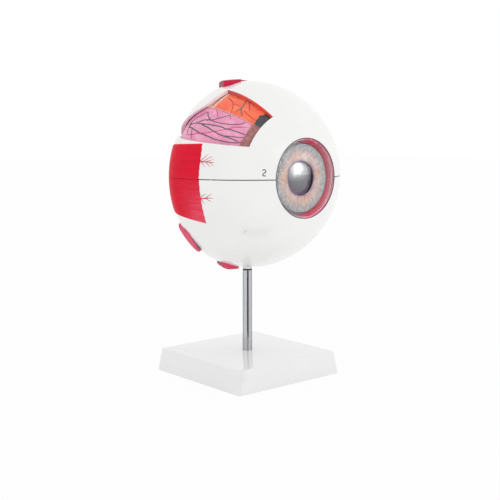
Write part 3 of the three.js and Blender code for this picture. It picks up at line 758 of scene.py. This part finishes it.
def floor_edge(angle, inset):
    """Angle round the axis where the lower edge of the window lies, at an angle off it"""
    f = np.linspace(10, 80, 701)
    p = on_globe(np.full_like(f, angle), f, inset)
    return crossing(f, p[:, 2] - (WINDOW_FLOOR + p[:, 1] * FLOOR_SLOPE))


def sclera_start(inset):
    """Angle off the axis where a surface of the sclera meets the seat of the cornea"""
    return (asin(SEAT_RADIUS / RADIUS) if inset == SCLERA
            else asin(LIP_RADIUS / (RADIUS - SCLERA_IN)))


def window_rows(columns, first, last):
    """Grid of the upper shell, which follows the four edges of the window"""
    def rows(inset):
        start = sclera_start(inset)
        turns = np.linspace(80, 125, 181)
        floor = np.array([floor_edge(t, inset) for t in turns])
        places = on_globe(turns, floor, inset)
        corner_angle = crossing(turns, places[:, 1] - rear_limit(places[:, 2]))
        corner = floor_edge(corner_angle, inset)
        low_z = float(on_globe(corner_angle, corner, inset)[2])
        rear_angles, rear_around = rear_curve(low_z, inset, last - first + 1)
        share = np.clip((columns - columns[first]) / (columns[last] - columns[first]), 0, 1)
        rear_share = share.copy()
        rear_share[first:last + 1] = (rear_around - corner) / (WINDOW_HIGH - corner)
        rear = np.pad(rear_angles, (first, len(columns) - last - 1), "edge")

        def line_at(s):
            """Angles round the axis of a line across the window"""
            low = floor_edge(WINDOW_FRONT + (corner_angle - WINDOW_FRONT) * s, inset)
            inner = low + (WINDOW_HIGH - low) * (share + (rear_share - share) * s)
            return np.where(columns < columns[first], columns * low / columns[first],
                            np.where(columns > columns[last], columns, inner))

        lines, around = [], []
        for s in np.linspace(0, 1, FRONT_ROWS + 1)[:-1]:
            lines.append(start + (WINDOW_FRONT - start) * s + 0 * columns)
            around.append(columns + (line_at(0) - columns) * s)
        for s in np.linspace(0, 1, WINDOW_ROWS + 1)[:-1]:
            lines.append(WINDOW_FRONT + (rear - WINDOW_FRONT) * s)
            around.append(line_at(s))
        for s in np.linspace(0, 1, REAR_ROWS + 1):
            lines.append(rear + (180 - rear) * s)
            around.append(line_at(1) + (columns - line_at(1)) * min(1, s * 2.5))
        return np.array(lines), np.array(around)
    return rows


def sclera_half(top):
    columns = snapped((WINDOW_LOW, WINDOW_HIGH))
    low, high = (nearest(columns, v) for v in (WINDOW_LOW, WINDOW_HIGH))

    def kept(count, wide):
        keep = np.ones((count, wide), bool)
        if top:
            keep[FRONT_ROWS:FRONT_ROWS + WINDOW_ROWS, low:high] = False
        return keep

    def plain(inset):
        lines = np.linspace(sclera_start(inset), 180, FRONT_ROWS + WINDOW_ROWS + REAR_ROWS + 1)
        return straight(lines, columns, top)

    side = side_of(top)
    # The seat of the cornea and the seam's bevels are dark grey painted shade; the cone is pink
    # with a painted grey temple side
    return shell(f"sclera_{side}_shell", (SCLERA, SCLERA_IN),
                 window_rows(columns, low, high) if top else plain, turned(columns, top), top, kept,
                 {"high": 1, "rear": 2, "front": 0, "low": 0},
                 [(SEAT_RADIUS, SEAT_Y, 4), (SEAT_RADIUS - 1, SEAT_Y, 3), (LIP_RADIUS, LIP_Y, 3)],
                 [white_shell, window_top, window_rear, cone_pink, rim_shade_grey], f"{side}_shell",
                 "shell_plastic", [f"sclera_{side}"], 0.4, seam_shade=4)


sclera_upper = sclera_half(True)
sclera_lower = sclera_half(False)

PEG_ANGLES, PEG_SIDES = (62, 140, 220, 298), 24
PEG, PEG_HOLE = 0.8, 1.1     # radii of the pegs in the seam and of the holes that take them
peg_places = []
for angle in PEG_ANGLES:
    distance = float(reach(min(angle, 360 - angle), SCLERA_IN / 2))
    peg_places.append((distance * sin(angle), -distance * cos(angle)))
cut(sclera_upper, "DIFFERENCE",
    [tool_pin(PEG_HOLE, EYE - 3, EYE + 2.9, x, y, PEG_SIDES) for x, y in peg_places])
BALL_FOOT = EYE - RADIUS
BOSS_TOP = BALL_FOOT + RETINA_IN
BOSS_ROOF = 1.6              # left above the hole for the rod
BOSS, COLLAR, HOLE = 7, 4.2, 3.3
cut(sclera_lower, "UNION", [tool_pin(BOSS, BALL_FOOT + 1.2, BOSS_TOP),
                            tool_pin(COLLAR, BALL_FOOT - 1.6, BALL_FOOT + 2)])
cut(sclera_lower, "DIFFERENCE", [tool_pin(HOLE, BALL_FOOT - 9, BOSS_TOP - BOSS_ROOF)])
for piece in (sclera_upper, sclera_lower):
    piece.data.set_sharp_from_angle(angle=math.radians(35))

bm = bmesh.new()
for x, y in peg_places:
    rows = [[put(bm, (x + radius * cos(t), y + radius * sin(t), z)) for t in ring(PEG_SIDES)]
            for radius, z in ((0, -1), (PEG, -1), (PEG, 2.1), (PEG - 0.3, 2.55), (0, 2.6))]
    for a, b in zip(rows, rows[1:]):
        band(bm, a, b, True)
finish_mesh("seam_pegs", as_mesh("seam_pegs", clean(bm)), [white_shell], "lower_shell",
            "shell_plastic")


# Choroid and retina

LAYER_FRONT = 48.1
VIEW_LOW, VIEW_HIGH, STRIP_HIGH = 16, 49, 70
STRIP_Y, VIEW_REAR, VIEW_END = 16, 5.5, 118
VIEW_MARGIN, PANEL, PANEL_WALL = 0.4, CHOROID + 0.4, 0.3
BAND_ROW, VIEW_ROW, END_ROW = 13, 18, 31    # rows of the grid at the places above


def choroid_half(top):
    marks = (VIEW_LOW, VIEW_HIGH, STRIP_HIGH)
    columns = snapped(marks)
    low, high, strip = (nearest(columns, v) for v in marks)

    def rows(inset):
        stripe, back = (acos(y / (RADIUS - inset)) for y in (STRIP_Y, VIEW_REAR))
        lines = np.concatenate([
            np.linspace(LAYER_FRONT, stripe, BAND_ROW + 1)[:-1],
            np.linspace(stripe, back, VIEW_ROW - BAND_ROW + 1)[:-1],
            np.linspace(back, VIEW_END, END_ROW - VIEW_ROW + 1)[:-1],
            np.linspace(VIEW_END, 180, 28)])
        return straight(lines, columns, top)

    def kept(count, wide):
        keep = np.ones((count, wide), bool)
        if top:
            keep[:VIEW_ROW, low:high] = False
            keep[VIEW_ROW:END_ROW, low:strip] = False
        return keep

    def paint(i, j):
        return 3 if top and BAND_ROW <= i < VIEW_ROW and high <= j < strip else 0

    side = side_of(top)
    return shell(f"choroid_{side}_shell", (CHOROID, CHOROID_IN), rows, turned(columns, top), top,
                 kept, {k: 1 for k in ("high", "low", "rear", "front")}, (),
                 [choroid_orange, cut_white, choroid_inside, choroid_band], f"{side}_lining",
                 "choroid_orange", [f"choroid_{side}"], 0.25, inside=2, paint=paint)


def retina_half(top):
    """The upper half is thicker where the choroid is cut away"""
    strip = acos((VIEW_REAR - 0.55) / (RADIUS - PANEL))
    columns = snapped((VIEW_LOW, VIEW_HIGH, STRIP_HIGH))
    turns = np.concatenate([
        np.linspace(LAYER_FRONT, strip, 17), np.linspace(strip, VIEW_END, 15)[1:],
        np.linspace(VIEW_END, 180, 28)[1:]])
    for edge, way in ((VIEW_LOW, 1), (VIEW_HIGH, -1), (STRIP_HIGH, -1)):
        columns[nearest(columns, edge)] = edge + way * VIEW_MARGIN
        columns = np.append(columns, edge + way * (VIEW_MARGIN + PANEL_WALL))
    behind = VIEW_END - VIEW_MARGIN
    turns[nearest(turns, VIEW_END)] = behind
    turns = np.sort(np.append(turns, (strip + PANEL_WALL, behind - PANEL_WALL)))
    columns = np.sort(columns)

    def within(value, first, last):
        return np.clip(np.minimum(value - first, last - value) / PANEL_WALL, 0, 1)

    def rows(inset):
        t = np.repeat(turns[:, None], len(columns), 1)
        f = columns + 0 * t
        low = VIEW_LOW + VIEW_MARGIN
        front = np.minimum(within(f, low, VIEW_HIGH - VIEW_MARGIN), within(t, 0, behind))
        rear = np.minimum(within(f, low, STRIP_HIGH - VIEW_MARGIN), within(t, strip, behind))
        return t, turned(f, top), np.maximum(front, rear) if top else 0 * t

    side = side_of(top)
    return shell(f"retina_{side}_shell", (RETINA, RETINA_IN), rows, turned(columns, top), top,
                 lambda count, wide: np.ones((count, wide), bool), {}, (),
                 [retina_pink, cut_white, retina_inside], f"{side}_lining", "retina_pink",
                 [f"retina_{side}"], 0.2, inside=2, lifted=PANEL)


choroid_half(True)
retina_half(True)
for half in (choroid_half, retina_half):
    cut(half(False), "DIFFERENCE", [tool_pin(BOSS + 0.8, BALL_FOOT - 2, BALL_FOOT + 20)])


# Ciliary body: its rear edge is scalloped and lies over the front of the choroid and retina

def ball_point(angle, inset):
    return (RADIUS - inset) * sin(angle), -(RADIUS - inset) * cos(angle)


def ciliary_half(top):
    around = half_turn(top)
    wave = 0.30 * sin(around * 26) + 0.22 * sin(around * 61 + 40) + 0.2 * sin(around * 13 + 80)
    rear = 48.3 + wave * np.where((around > 48) & (around < 66), 1.9, 1.1)
    skin, foot = CHOROID - 0.17, CHOROID - 0.03
    front = np.linspace(asin(29.99 / (RADIUS - CHOROID)), WINDOW_FRONT, 6)
    rings = [ball_point(t, i) for t, i in (
        *((t, CHOROID) for t in front), (43.5, skin + 0.05), (44.2, skin), (46, skin), (47, skin),
        (rear - 0.2, skin), (rear, foot), (47.8, foot),
        *((t, RETINA_IN) for t in (47.8, 45, 42, 39)))]
    wall, ledge = IRIS_RADIUS + 0.3, IRIS_Y + 2.3
    rings += [(wall + 2, ledge + 4.2), (wall - 2, ledge + 2.2), (wall - 2, ledge), (wall, ledge),
              (wall, IRIS_Y)]

    def paint(k, angle):
        # The last band is the cone in front, in the dark red that holds painted shade
        if k == len(rings) - 1:
            return 1
        if k >= 12:
            return 3
        return 2 if k >= 6 and 49.5 <= angle <= 66 else 0

    side = side_of(top)
    lathe(f"ciliary_{side}_ring", rings, [ciliary_brown, cone_red_and_shade, ciliary_black, ciliary_inside],
          f"{side}_lining", "ciliary_red", [f"ciliary_body_{side}"], paint, 50, around,
          lambda points: clamped(points, top))


# Iris, lens, clear body and cornea

def iris_half(top):
    around = half_turn(top)
    pleat = sin(around * 30 + 20) * 0.5 + sin(around * 47) * 0.5
    rings = []
    for share in np.linspace(0, 1, 15):
        hump = 0.35 * sin(180 * share / 0.55) if share < 0.55 else 0
        swell = 0.10 * pleat * sin(180 * share)
        rings.append((PUPIL + (IRIS_RADIUS - PUPIL) * share,
                      IRIS_Y + 0.5 * (1 - share) - hump - swell))
    rings += [(IRIS_RADIUS, IRIS_Y + 2), (IRIS_RADIUS - 2, IRIS_Y + 2), (PUPIL, IRIS_Y + 1.5)]
    side = side_of(top)
    lathe(f"iris_{side}_half", rings, [iris_paint], f"{side}_lining", "iris_paint",
          [f"iris_{side}"], None, 60, around, lambda points: clamped(points, top, 0.03))


for half in (ciliary_half, iris_half):
    half(True)
    half(False)

LENS_RADIUS, LENS_FRONT, LENS_REAR, LENS_Y = 22, 16, 12, -50.34
turns = np.linspace(0, 90, 25)
profile = [(LENS_RADIUS * sin(t), LENS_Y - LENS_FRONT * cos(t)) for t in turns]
profile += [(LENS_RADIUS * cos(t), LENS_Y + LENS_REAR * sin(t)) for t in turns[1:]]
profile[-1] = (0, profile[-1][1])
lathe("lens_body", profile, [lens_grey], "lens", "lens_plastic", ["lens"], sharp=80)

BODY_FACE, BODY_WALL, DISH_RADIUS = -47.84, 2, 18


def globe_outline(inset, y):
    """Profile of a layer from a place on the axis to the rear"""
    t = np.linspace(acos(-y / (RADIUS - inset)), 180, 50)
    r = reach(t, inset)
    return [*zip(r[:-1] * sin(t[:-1]), -r[:-1] * cos(t[:-1])), (0, r[-1])]


def dish(grow):
    """Profile round the rear of the lens, from the axis outwards"""
    start = asin(2.5 / (LENS_REAR + grow))
    end = acos(DISH_RADIUS / (LENS_RADIUS + grow))
    return [((LENS_RADIUS + grow) * cos(t), LENS_Y + (LENS_REAR + grow) * sin(t))
            for t in np.linspace(start, end, 8)]


back = dish(0.4 + BODY_WALL)
back[0] = (back[0][0], back[0][1] + BODY_WALL)
profile = (globe_outline(VITREOUS, BODY_FACE)[::-1] + dish(0.4) + back[::-1]
           + globe_outline(VITREOUS_IN, BODY_FACE + BODY_WALL))
lathe("vitreous_shell", profile, [clear_body], "clear_body", "clear_plastic", ["vitreous_body"],
      sharp=45)

DOME, CORNEA_R, CORNEA_WALL, BULGE = 30.9, 31.9, 1.4, 9.5
cap = (DOME ** 2 + BULGE ** 2) / (2 * BULGE)
outside, inside = [[(radius * sin(t), EDGE_Y - BULGE + cap - radius * cos(t))
                    for t in np.linspace(0, asin(rim / radius), 25)]
                   for radius, rim in ((cap, DOME), (cap - CORNEA_WALL, DOME - CORNEA_WALL))]
profile = outside + [
    (CORNEA_R - 0.4, EDGE_Y), (CORNEA_R - 0.1, EDGE_Y + 0.1), (CORNEA_R, EDGE_Y + 0.4),
    (CORNEA_R, SEAT_Y - 0.3), (DOME - CORNEA_WALL, SEAT_Y - 0.3)] + inside[::-1]
# The outer edge of the flange is painted dark grey, painted shade for the dark line along the
# cornea's edge
lathe("cornea_dome", profile, [clear_cornea, rim_shade_grey], "cornea", "clear_plastic", ["cornea"],
      lambda k, angle: int(25 <= k < 28))


# Muscle stumps

STRAP_HIGH, STRAP_LOW, STRAP_REAR = 27.8, -35, 21
UPRIGHT_REAR, UPRIGHT_PROUD, UPRIGHT_DEPTH = 8, 0.9, 74.9
OBLIQUE_WIDE, OBLIQUE_REAR, OBLIQUE_LEAN = 24, 14, 32
UNDER = -0.2                 # how far the underside of a strap lies in the shell


def side_strap(label, side, front, top):
    """Flat strap on the temple side (-1) or the nose side (1), the part on one side of the seam"""
    seam, end, taper = (SEAM, STRAP_HIGH, -1.5) if top else (-SEAM, STRAP_LOW, 9)
    low, high = (0.1, end) if top else (end, -0.1)
    z0 = np.linspace(low, high, 37)[None, :]
    u = np.linspace(0, 1, 41)[:, None]
    edge = np.interp(z0, (STRAP_LOW, -26, -16, -6, 1.2, 13.6, 22, STRAP_HIGH),
                     (2.2, 1.2, 0.6, 0.6, 0.9, 0.6, 1.2, 2.4))
    start = -front + edge + 0.12 * np.sin(z0 * 1.3) + 0.08 * np.sin(z0 * 3.1 + 1)
    y = start + (STRAP_REAR - start) * u
    run = (y + front - 2) / (STRAP_REAR - 2 + front)
    z = seam + (z0 - seam) / (end - seam) * (end + taper * run - seam)
    across = (z - z.min(axis=1, keepdims=True)) / np.ptp(z, axis=1, keepdims=True)
    from_edge = 1 - across if top else across
    rise = np.minimum(1, (STRAP_REAR - start) * u / 3.5) * np.minimum(1, from_edge * 30 / 1.6)
    proud = 0.3 + 0.45 * np.sqrt(np.clip(rise, 0, 1))
    surface, raised = radius_at(y, 0), radius_at(y, 1)
    grids = []
    for height in (proud, UNDER):
        r = surface + (raised - surface) * height
        grids.append(np.stack([side * np.sqrt(np.maximum(r ** 2 - z ** 2, 1)), y, z], -1))
    half = side_of(top)
    slab(f"{label}_strap_{half}", *grids, [muscle_side, muscle_cut], f"{half}_shell", "muscle_red",
         [f"{label}_rectus_{half}"], (0, 1, 0, 0), 0.2)


for place in ("lateral", -1, 29), ("medial", 1, 35):
    side_strap(*place, True)
    side_strap(*place, False)


# Front edge of the upright straps: places from side to side, then along the axis
INSERTION = ((-24, -5.6), (-22.6, -7.2), (-21, -8.4), (-19, -9.1), (-13, -8.2), (-7.5, -7.1),
             (-5.6, -6), (-1.4, 0.6), (0, 1.3), (12, 4), (22, 6))


def upright_strap(label, side, middle, thick, start, paint):
    """Strap over the top or under the foot of the globe, flatter than the globe from side to
    side"""
    v = np.linspace(0, 1, 61)[None, :]
    u = np.linspace(0, 1, 21)[:, None]
    x_front = -24 + 46 * v
    front = np.interp(x_front, *zip(*INSERTION)) + 0.1 * np.sin(v * 62)
    y = front + (UPRIGHT_REAR - front) * u
    x = middle + x_front + (-18 + 36 * v - x_front) * u
    t = np.linspace(5, 175, 700)
    r = flattened(t, RADIUS + UPRIGHT_PROUD, UPRIGHT_DEPTH)
    form = np.interp(y, -r * cos(t), r * sin(t))
    over = np.sqrt(form ** 2 - ((x - middle) / 1.5) ** 2)
    under = np.sqrt(radius_at(y, UNDER) ** 2 - x ** 2)
    over = under + (over - under) * (1 - (1 - thick) * np.clip((y - start) / 6, 0, 1))
    grids = [np.stack([x, y, side * h], -1) for h in (over, under)]
    return slab(f"{label}_strap", *grids, [paint, muscle_cut, muscle_edge],
                f"{side_of(side > 0)}_shell", "muscle_red", [f"{label}_rectus"], (0, 1, 2, 1))


upright_strap("superior", 1, -6, 0.85, -4, muscle_top)
inferior = upright_strap("inferior", -1, -9, 0.5, -10, muscle_under)
cut(inferior, "DIFFERENCE", [tool_pin(COLLAR + 1.5, BALL_FOOT - 6, BALL_FOOT + 8)])


def oblique_strap(label, side):
    """Strap round the globe that leaves it along a tangent"""
    s = np.linspace(0, OBLIQUE_WIDE, 25)[:, None]
    front = np.interp(s, (0, 2.5, 5, 16, 21, 24), (0.6, -1.6, -2.7, -2.9, -2.4, -1.4))
    y = front + (OBLIQUE_REAR - front) * np.linspace(0, 1, 25)[None, :]
    s = s + 0 * y
    inner = np.sqrt(radius_at(y, UNDER) ** 2 - s ** 2)
    outer = np.minimum(RADIUS + UPRIGHT_PROUD, np.sqrt((radius_at(y, 0) + 3.1) ** 2 - s ** 2))
    c, d = cos(OBLIQUE_LEAN), sin(OBLIQUE_LEAN)
    grids = [np.stack([side * (r * c - s * d), y, side * (r * d + s * c)], -1)
             for r in (outer, inner)]
    # The front end's wall is grey at its foot, next to the globe, from partway across: painted
    # shadow where the strap meets the globe
    slab(f"{label}_oblique_strap", *grids, [oblique_pink, oblique_cut],
         f"{side_of(side > 0)}_shell", "oblique_pink", [f"{label}_oblique"],
         (0, 1, (0.55, 0.4), 0))


oblique_strap("superior", 1)
oblique_strap("inferior", -1)


# Optic nerve: the sheath, and the core in its cut end

NERVE_TILT, NERVE_SHIFT, NERVE_END = 10, 5.5, DEPTH + 14


def tilted(points):
    """Points turned off the optical axis and moved sideways, as the nerve is"""
    x, y, z = points.T
    c, s = cos(NERVE_TILT), sin(NERVE_TILT)
    return np.stack([NERVE_SHIFT + x * c + y * s, y * c - x * s, z], -1)


def nerve_half(top):
    rings = [(0.05, 20), (15, 20), (14.2, 30), (13.4, 36), (12.8, 41), (12.5, 44)]
    rings += [(radius, NERVE_END - back) for radius, back in (
        (12.5, 1), (12.2, 0.35), (11.5, 0), (10.2, 0), (9.9, 0.5), (9.4, 0.6), (0.05, 0.6))]
    side = side_of(top)
    lathe(f"optic_nerve_{side}_stump", rings, [nerve_skin, nerve_core], f"{side}_shell",
          "nerve_cream", [f"optic_nerve_{side}"], lambda k, angle: int(9 <= k <= 11),
          around=half_turn(top, 48), move=lambda points: clamped(tilted(points), top))


nerve_half(True)
nerve_half(False)


# Painted vessels, each with its width and then its places on the globe

GREY_RETINA = [
    (2.0, (88.6, 36.1), (88.4, 33.7), (88.7, 31.9)),
    (0.9, (88.8, 36.0), (87.6, 37.7), (86.2, 39.7), (83.5, 41.5), (82.2, 43.4), (80.8, 44.6),
     (80.1, 45.2)),
    (0.9, (80.1, 45.2), (78.1, 42.6), (75.1, 40.3), (72.0, 39.4), (68.2, 39.2), (63.6, 39.9),
     (59.1, 41.4), (55.2, 44.0), (52.5, 47.9)),
    (1.1, (88.2, 34.7), (85.5, 35.4), (83.8, 35.8), (79.3, 35.9), (75.8, 36.1), (70.4, 36.5),
     (65.7, 36.9), (61.5, 36.7), (57.1, 37.3), (52.8, 37.6), (48.4, 38.1)),
    (0.9, (82.8, 36.1), (81.5, 37.2), (79.3, 38.3), (77.9, 39.1), (74.9, 39.5), (73.5, 39.7),
     (69.9, 42.1), (67.0, 44.7), (64.1, 47.4)),
    (1.1, (79.3, 35.8), (76.4, 34.8), (73.3, 34.2), (69.9, 33.1), (65.7, 31.9), (61.9, 31.2),
     (57.4, 31.0), (52.8, 30.7), (49.1, 30.0)),
    (0.8, (60.2, 31.2), (56.2, 32.4), (51.2, 33.9), (48.5, 35.3)),
    (1.1, (88.3, 32.5), (85.8, 32.3), (82.8, 31.3), (77.7, 29.6), (73.4, 28.8), (69.2, 28.0),
     (65.0, 27.3), (59.8, 27.3), (54.8, 28.0), (50.0, 29.4)),
    (0.7, (88.6, 31.6), (87.2, 26.9)),
    (0.7, (85.0, 31.8), (83.6, 28.8), (81.6, 25.1)),
]
ROSE_RETINA = [
    (0.8, (86.2, 27.4), (81.5, 28.0), (77.6, 29.1), (72.3, 30.3), (67.7, 32.3), (62.5, 35.1),
     (57.9, 38.9), (54.0, 41.6), (49.8, 44.9)),
    (0.6, (85.7, 39.7), (83.7, 36.4)),
    (0.8, (75.3, 48.4), (72.2, 45.3), (69.9, 42.1)),
    (0.6, (64.6, 48.2), (62.0, 44.7)),
    (0.6, (76.6, 38.3), (75.1, 41.3), (73.6, 43.8)),
]
GREY_CHOROID = [
    (1.3, (65.0, 67.9), (63.1, 62.6), (61.7, 57.0), (61.9, 54.0), (62.6, 51.3)),
    (1.1, (61.7, 57.0), (59.5, 53.3), (56.8, 51.0)),
    (1.1, (64.7, 67.5), (59.7, 62.4), (56.2, 57.9)),
]
RED_CHOROID = [
    (0.9, (75.8, 60.7), (71.2, 58.8), (68.1, 56.5), (65.7, 52.3), (64.3, 49.0)),
    (0.6, (74.2, 62.2), (70.8, 63.4), (67.0, 63.6), (63.8, 63.0)),
    (0.6, (68.2, 56.8), (65.9, 57.7), (62.7, 57.4)),
    (0.8, (59.1, 55.6), (53.7, 54.0), (50.2, 53.5), (48.6, 53.4)),
    (0.6, (61.1, 64.6), (55.1, 65.5), (49.0, 66.6)),
    (0.5, (54.3, 62.6), (51.3, 65.0), (48.9, 66.4)),
]
SPRIGS = [
    (1.0, (69.97, 11.49), (66.94, 11.01), (63.7, 11.2), (60.15, 11.23)),
    (0.6, (68.71, 11.61), (66.6, 13.83), (64.56, 15.93)),
    (0.6, (66.98, 11.32), (64.09, 13.55), (61.78, 15.13)),
    (0.5, (64.97, 11.54), (63.05, 12.18), (60.69, 13.42)),
    (0.6, (68.63, 11.15), (66.69, 9.25), (65.18, 7.52)),
    (0.6, (65.72, 11.14), (63.46, 9.37), (62.04, 8.09)),
    (0.5, (63.3, 11.21), (61.55, 9.98), (60.25, 8.89)),
]
LOW_SPRIGS = [
    (1.0, (69.56, -11.81), (66.39, -11.79), (63.51, -11.71), (61.16, -11.97)),
    (0.6, (68.81, -11.24), (66.91, -9.9), (64.89, -8.67)),
    (0.6, (65.95, -11.65), (63.26, -10.06), (61.37, -9.33)),
    (0.6, (68.54, -12.05), (67.68, -14.13), (66.96, -15.63)),
    (0.6, (65.58, -11.91), (63.79, -13.28), (62.41, -14.12)),
    (0.6, (69.28, -10.22), (67.92, -9.66)),
]
NUMERAL = [
    (0.75, (32.22, 10.07), (31.76, 11.05), (30.69, 11.24), (30.29, 9.87), (30.51, 8.47),
     (31.64, 6.78), (31.79, 4.76)),
    (0.75, (31.79, 4.76), (29.87, 4.7)),
]

strands("retina_veins", GREY_RETINA, PANEL, 0.24, vein_grey, "upper_lining", "retina_pink",
        taper=0.3)
strands("retina_arteries", ROSE_RETINA, PANEL, 0.16, artery_rose, "upper_lining", "retina_pink")
strands("choroid_veins", GREY_CHOROID, CHOROID, 0.24, vein_brown, "upper_lining",
        "choroid_orange", taper=0.4)
strands("choroid_arteries", RED_CHOROID, CHOROID, 0.16, artery_red, "upper_lining",
        "choroid_orange")
strands("sprig_upper", SPRIGS, SCLERA, 0.08, sprig_red, "upper_shell", "muscle_red", taper=0.6)
strands("sprig_lower", LOW_SPRIGS, SCLERA, 0.08, sprig_red, "lower_shell", "muscle_red", taper=0.6)
strands("numeral", NUMERAL, SCLERA, 0.05, mark_grey, "upper_shell", "shell_plastic", 0.3, 0.0)
strands("moulding_mark", [(1.1, (51.6, -43.6), (50.4, -42.4), (49.0, -42.0))], SCLERA, 0.07,
        mark_pale, "lower_shell", "shell_plastic", taper=0.2)
strands("choroid_line", [(0.9, *((80.2, f) for f in np.linspace(50, 69, 12)))], CHOROID, 0.08,
        mark_grey, "upper_lining", "choroid_orange", taper=0.1)


# Stand

def loft(levels):
    """A solid through rounded squares: half the side, the radius of the corners, the height"""
    bm = bmesh.new()
    rows = []
    for half, corner, z in levels:
        inner = half - corner
        rows.append([bm.verts.new(((sx * inner + corner * cos(t)) * MM,
                                   (sy * inner + corner * sin(t)) * MM, z * MM))
                     for sx, sy, start in ((1, 1, 0), (-1, 1, 90), (-1, -1, 180), (1, -1, 270))
                     for t in range(start, start + 91, 9)])
    tube(bm, rows)
    return as_mesh("loft", clean(bm))


BASE_HALF, BASE_HIGH, DRAFT, TOP_ROUND, WALL, ROD = 56.2, 19.5, 2.5, 1.2, 3, 4
levels = [(BASE_HALF - 0.4, 2.8, 0), (BASE_HALF - 0.1, 3, 0.12), (BASE_HALF, 3, 0.4)]
for t in np.linspace(0, 90, 9):
    z = BASE_HIGH - TOP_ROUND * (1 - sin(t))
    levels.append((BASE_HALF - DRAFT * z / BASE_HIGH - TOP_ROUND * (1 - cos(t)), 3, z))
base = finish_mesh("base_body", loft(levels), [white_base], "stand", "base_plastic",
                   ["base_shell"], 30)
ceiling = BASE_HIGH - WALL
hollow = placed("tool", loft([
    (BASE_HALF - WALL + 0.3, 1.5, -WALL),
    (BASE_HALF - WALL - DRAFT * ceiling / BASE_HIGH, 1.5, ceiling)]))
RIB = 1.2                    # half the thickness of the crossed ribs under the base
span = BASE_HALF - WALL / 2 - DRAFT
cut(hollow, "DIFFERENCE", [
    tool_block((-span, -RIB, WALL), (span, RIB, ceiling + 1)),
    tool_block((-RIB, -span, WALL), (RIB, span, ceiling + 1)), tool_pin(9, 0, ceiling + 1)])
cut(base, "DIFFERENCE", [hollow])
cut(base, "DIFFERENCE", [tool_pin(ROD + 0.15, 4, 30)])
base.data.set_sharp_from_angle(angle=math.radians(30))

PIN, SHOULDER, ROD_FOOT = 3, 89.6, 4.3
ROD_TOP = BOSS_TOP - BOSS_ROOF - 0.3
WASHER_LOW, WASHER_HIGH = 89.9, 90.7


def upright(points):
    """Turns a body about the axis of the rod instead"""
    return points[:, [0, 2, 1]] - (0, 0, EYE)


lathe("rod_body", [(0, ROD_FOOT), (ROD - 0.5, ROD_FOOT), (ROD, ROD_FOOT + 0.5),
                   (ROD, SHOULDER - 0.15), (ROD - 0.15, SHOULDER), (PIN, SHOULDER),
                   (PIN, ROD_TOP - 0.5), (PIN - 0.5, ROD_TOP), (0, ROD_TOP)],
      [steel], "stand", "rod_steel", ["rod"], None, 35, ring(64), upright)
lathe("washer_ring", [(HOLE, WASHER_LOW), (ROD - 0.1, WASHER_LOW), (ROD, WASHER_LOW + 0.1),
                      (ROD, WASHER_HIGH - 0.1), (ROD - 0.1, WASHER_HIGH), (HOLE, WASHER_HIGH)],
      [rubber], "stand", "washer_rubber", ["rod_washer"], None, 35, ring(64), upright)


# Floor, lamps and surroundings

def sheet(name, corners, look):
    """One flat face that dresses the scene"""
    mesh = bpy.data.meshes.new(name)
    mesh.from_pydata(corners, [], [(0, 1, 2, 3)])
    mesh.materials.append(look.material)
    return placed(name, mesh)


SKY = 0.93                   # brightness of the surroundings, which the camera sees as white
ground = Look("ground")
ground.set(Base_Color=(0.9, 0.9, 0.9, 1), Roughness=0.9, Specular_IOR_Level=0.0)
ground.cover(ground.span(ground.seen(), 0.35, 0.93, 0, 1),
             ground.add("ShaderNodeEmission", {"Strength": 1.0}))
floor = sheet("floor", [(-4, -4, 0), (4, -4, 0), (4, 4, 0), (-4, 4, 0)], ground)

sky = Look("studio", bpy.data.worlds.new("studio"), "Background")
sky.set(Color=(1, 1, 1, 1), Strength=sky.span(sky.seen(), SKY, 1.0, 0, 1))
bpy.context.scene.world = sky.material

AIM = (0, -0.07, 0.17)


def softbox(name, direction, distance, size, power):
    lamp = placed(name, bpy.data.lights.new(name, "AREA"))
    way = Vector(direction).normalized()
    lamp.location = Vector(AIM) + way * distance
    lamp.rotation_euler = way.to_track_quat("Z", "Y").to_euler()
    lamp.data.shape, lamp.data.energy = "RECTANGLE", power
    lamp.data.size, lamp.data.size_y = size
    return lamp


softbox("key", (0.24, -0.93, 0.29), 1.2, (0.9, 0.9), 1.2)
for name, direction, size, power, pieces in (
        ("glint", (0.64, -0.72, 0.42), (0.36, 0.34), 13, ["lens_body"]),
        ("halo", (0.38, -0.87, 0.31), (0.5, 0.56), 6, ["lens_body", "cornea_dome"])):
    lamp = softbox(name, direction, 1.1 - size[0] / 10, size, power)
    lamp.visible_diffuse = False
    lamp.light_linking.receiver_collection = bpy.data.collections.new(name)
    for piece in pieces:
        lamp.light_linking.receiver_collection.objects.link(bpy.data.objects[piece])

# A dark card near the rod that only shows in reflections, some degrees round from the camera
FLAG_TURN, FLAG_SPREAD, FLAG_AWAY, FLAG_LOW, FLAG_HIGH = 11.5, 19, 0.095, 0.001, 0.08
dark = Look("rod_flag")
dark.set(Base_Color=(0.02, 0.02, 0.02, 1), Roughness=1.0)
half = math.tan(math.radians(FLAG_SPREAD)) * FLAG_AWAY
card = sheet("rod_flag", [(-half, 0, FLAG_LOW), (half, 0, FLAG_LOW), (half, 0, FLAG_HIGH),
                          (-half, 0, FLAG_HIGH)], dark)
course = math.atan2(CAMERA_AT[1], CAMERA_AT[0]) + math.radians(FLAG_TURN)
card.location = (math.cos(course) * FLAG_AWAY, math.sin(course) * FLAG_AWAY, 0)
card.rotation_euler = (0, 0, course + math.pi / 2)
card.visible_camera = card.visible_diffuse = False
card.visible_transmission = card.visible_shadow = False

bpy.context.scene.view_settings.view_transform = "Standard"
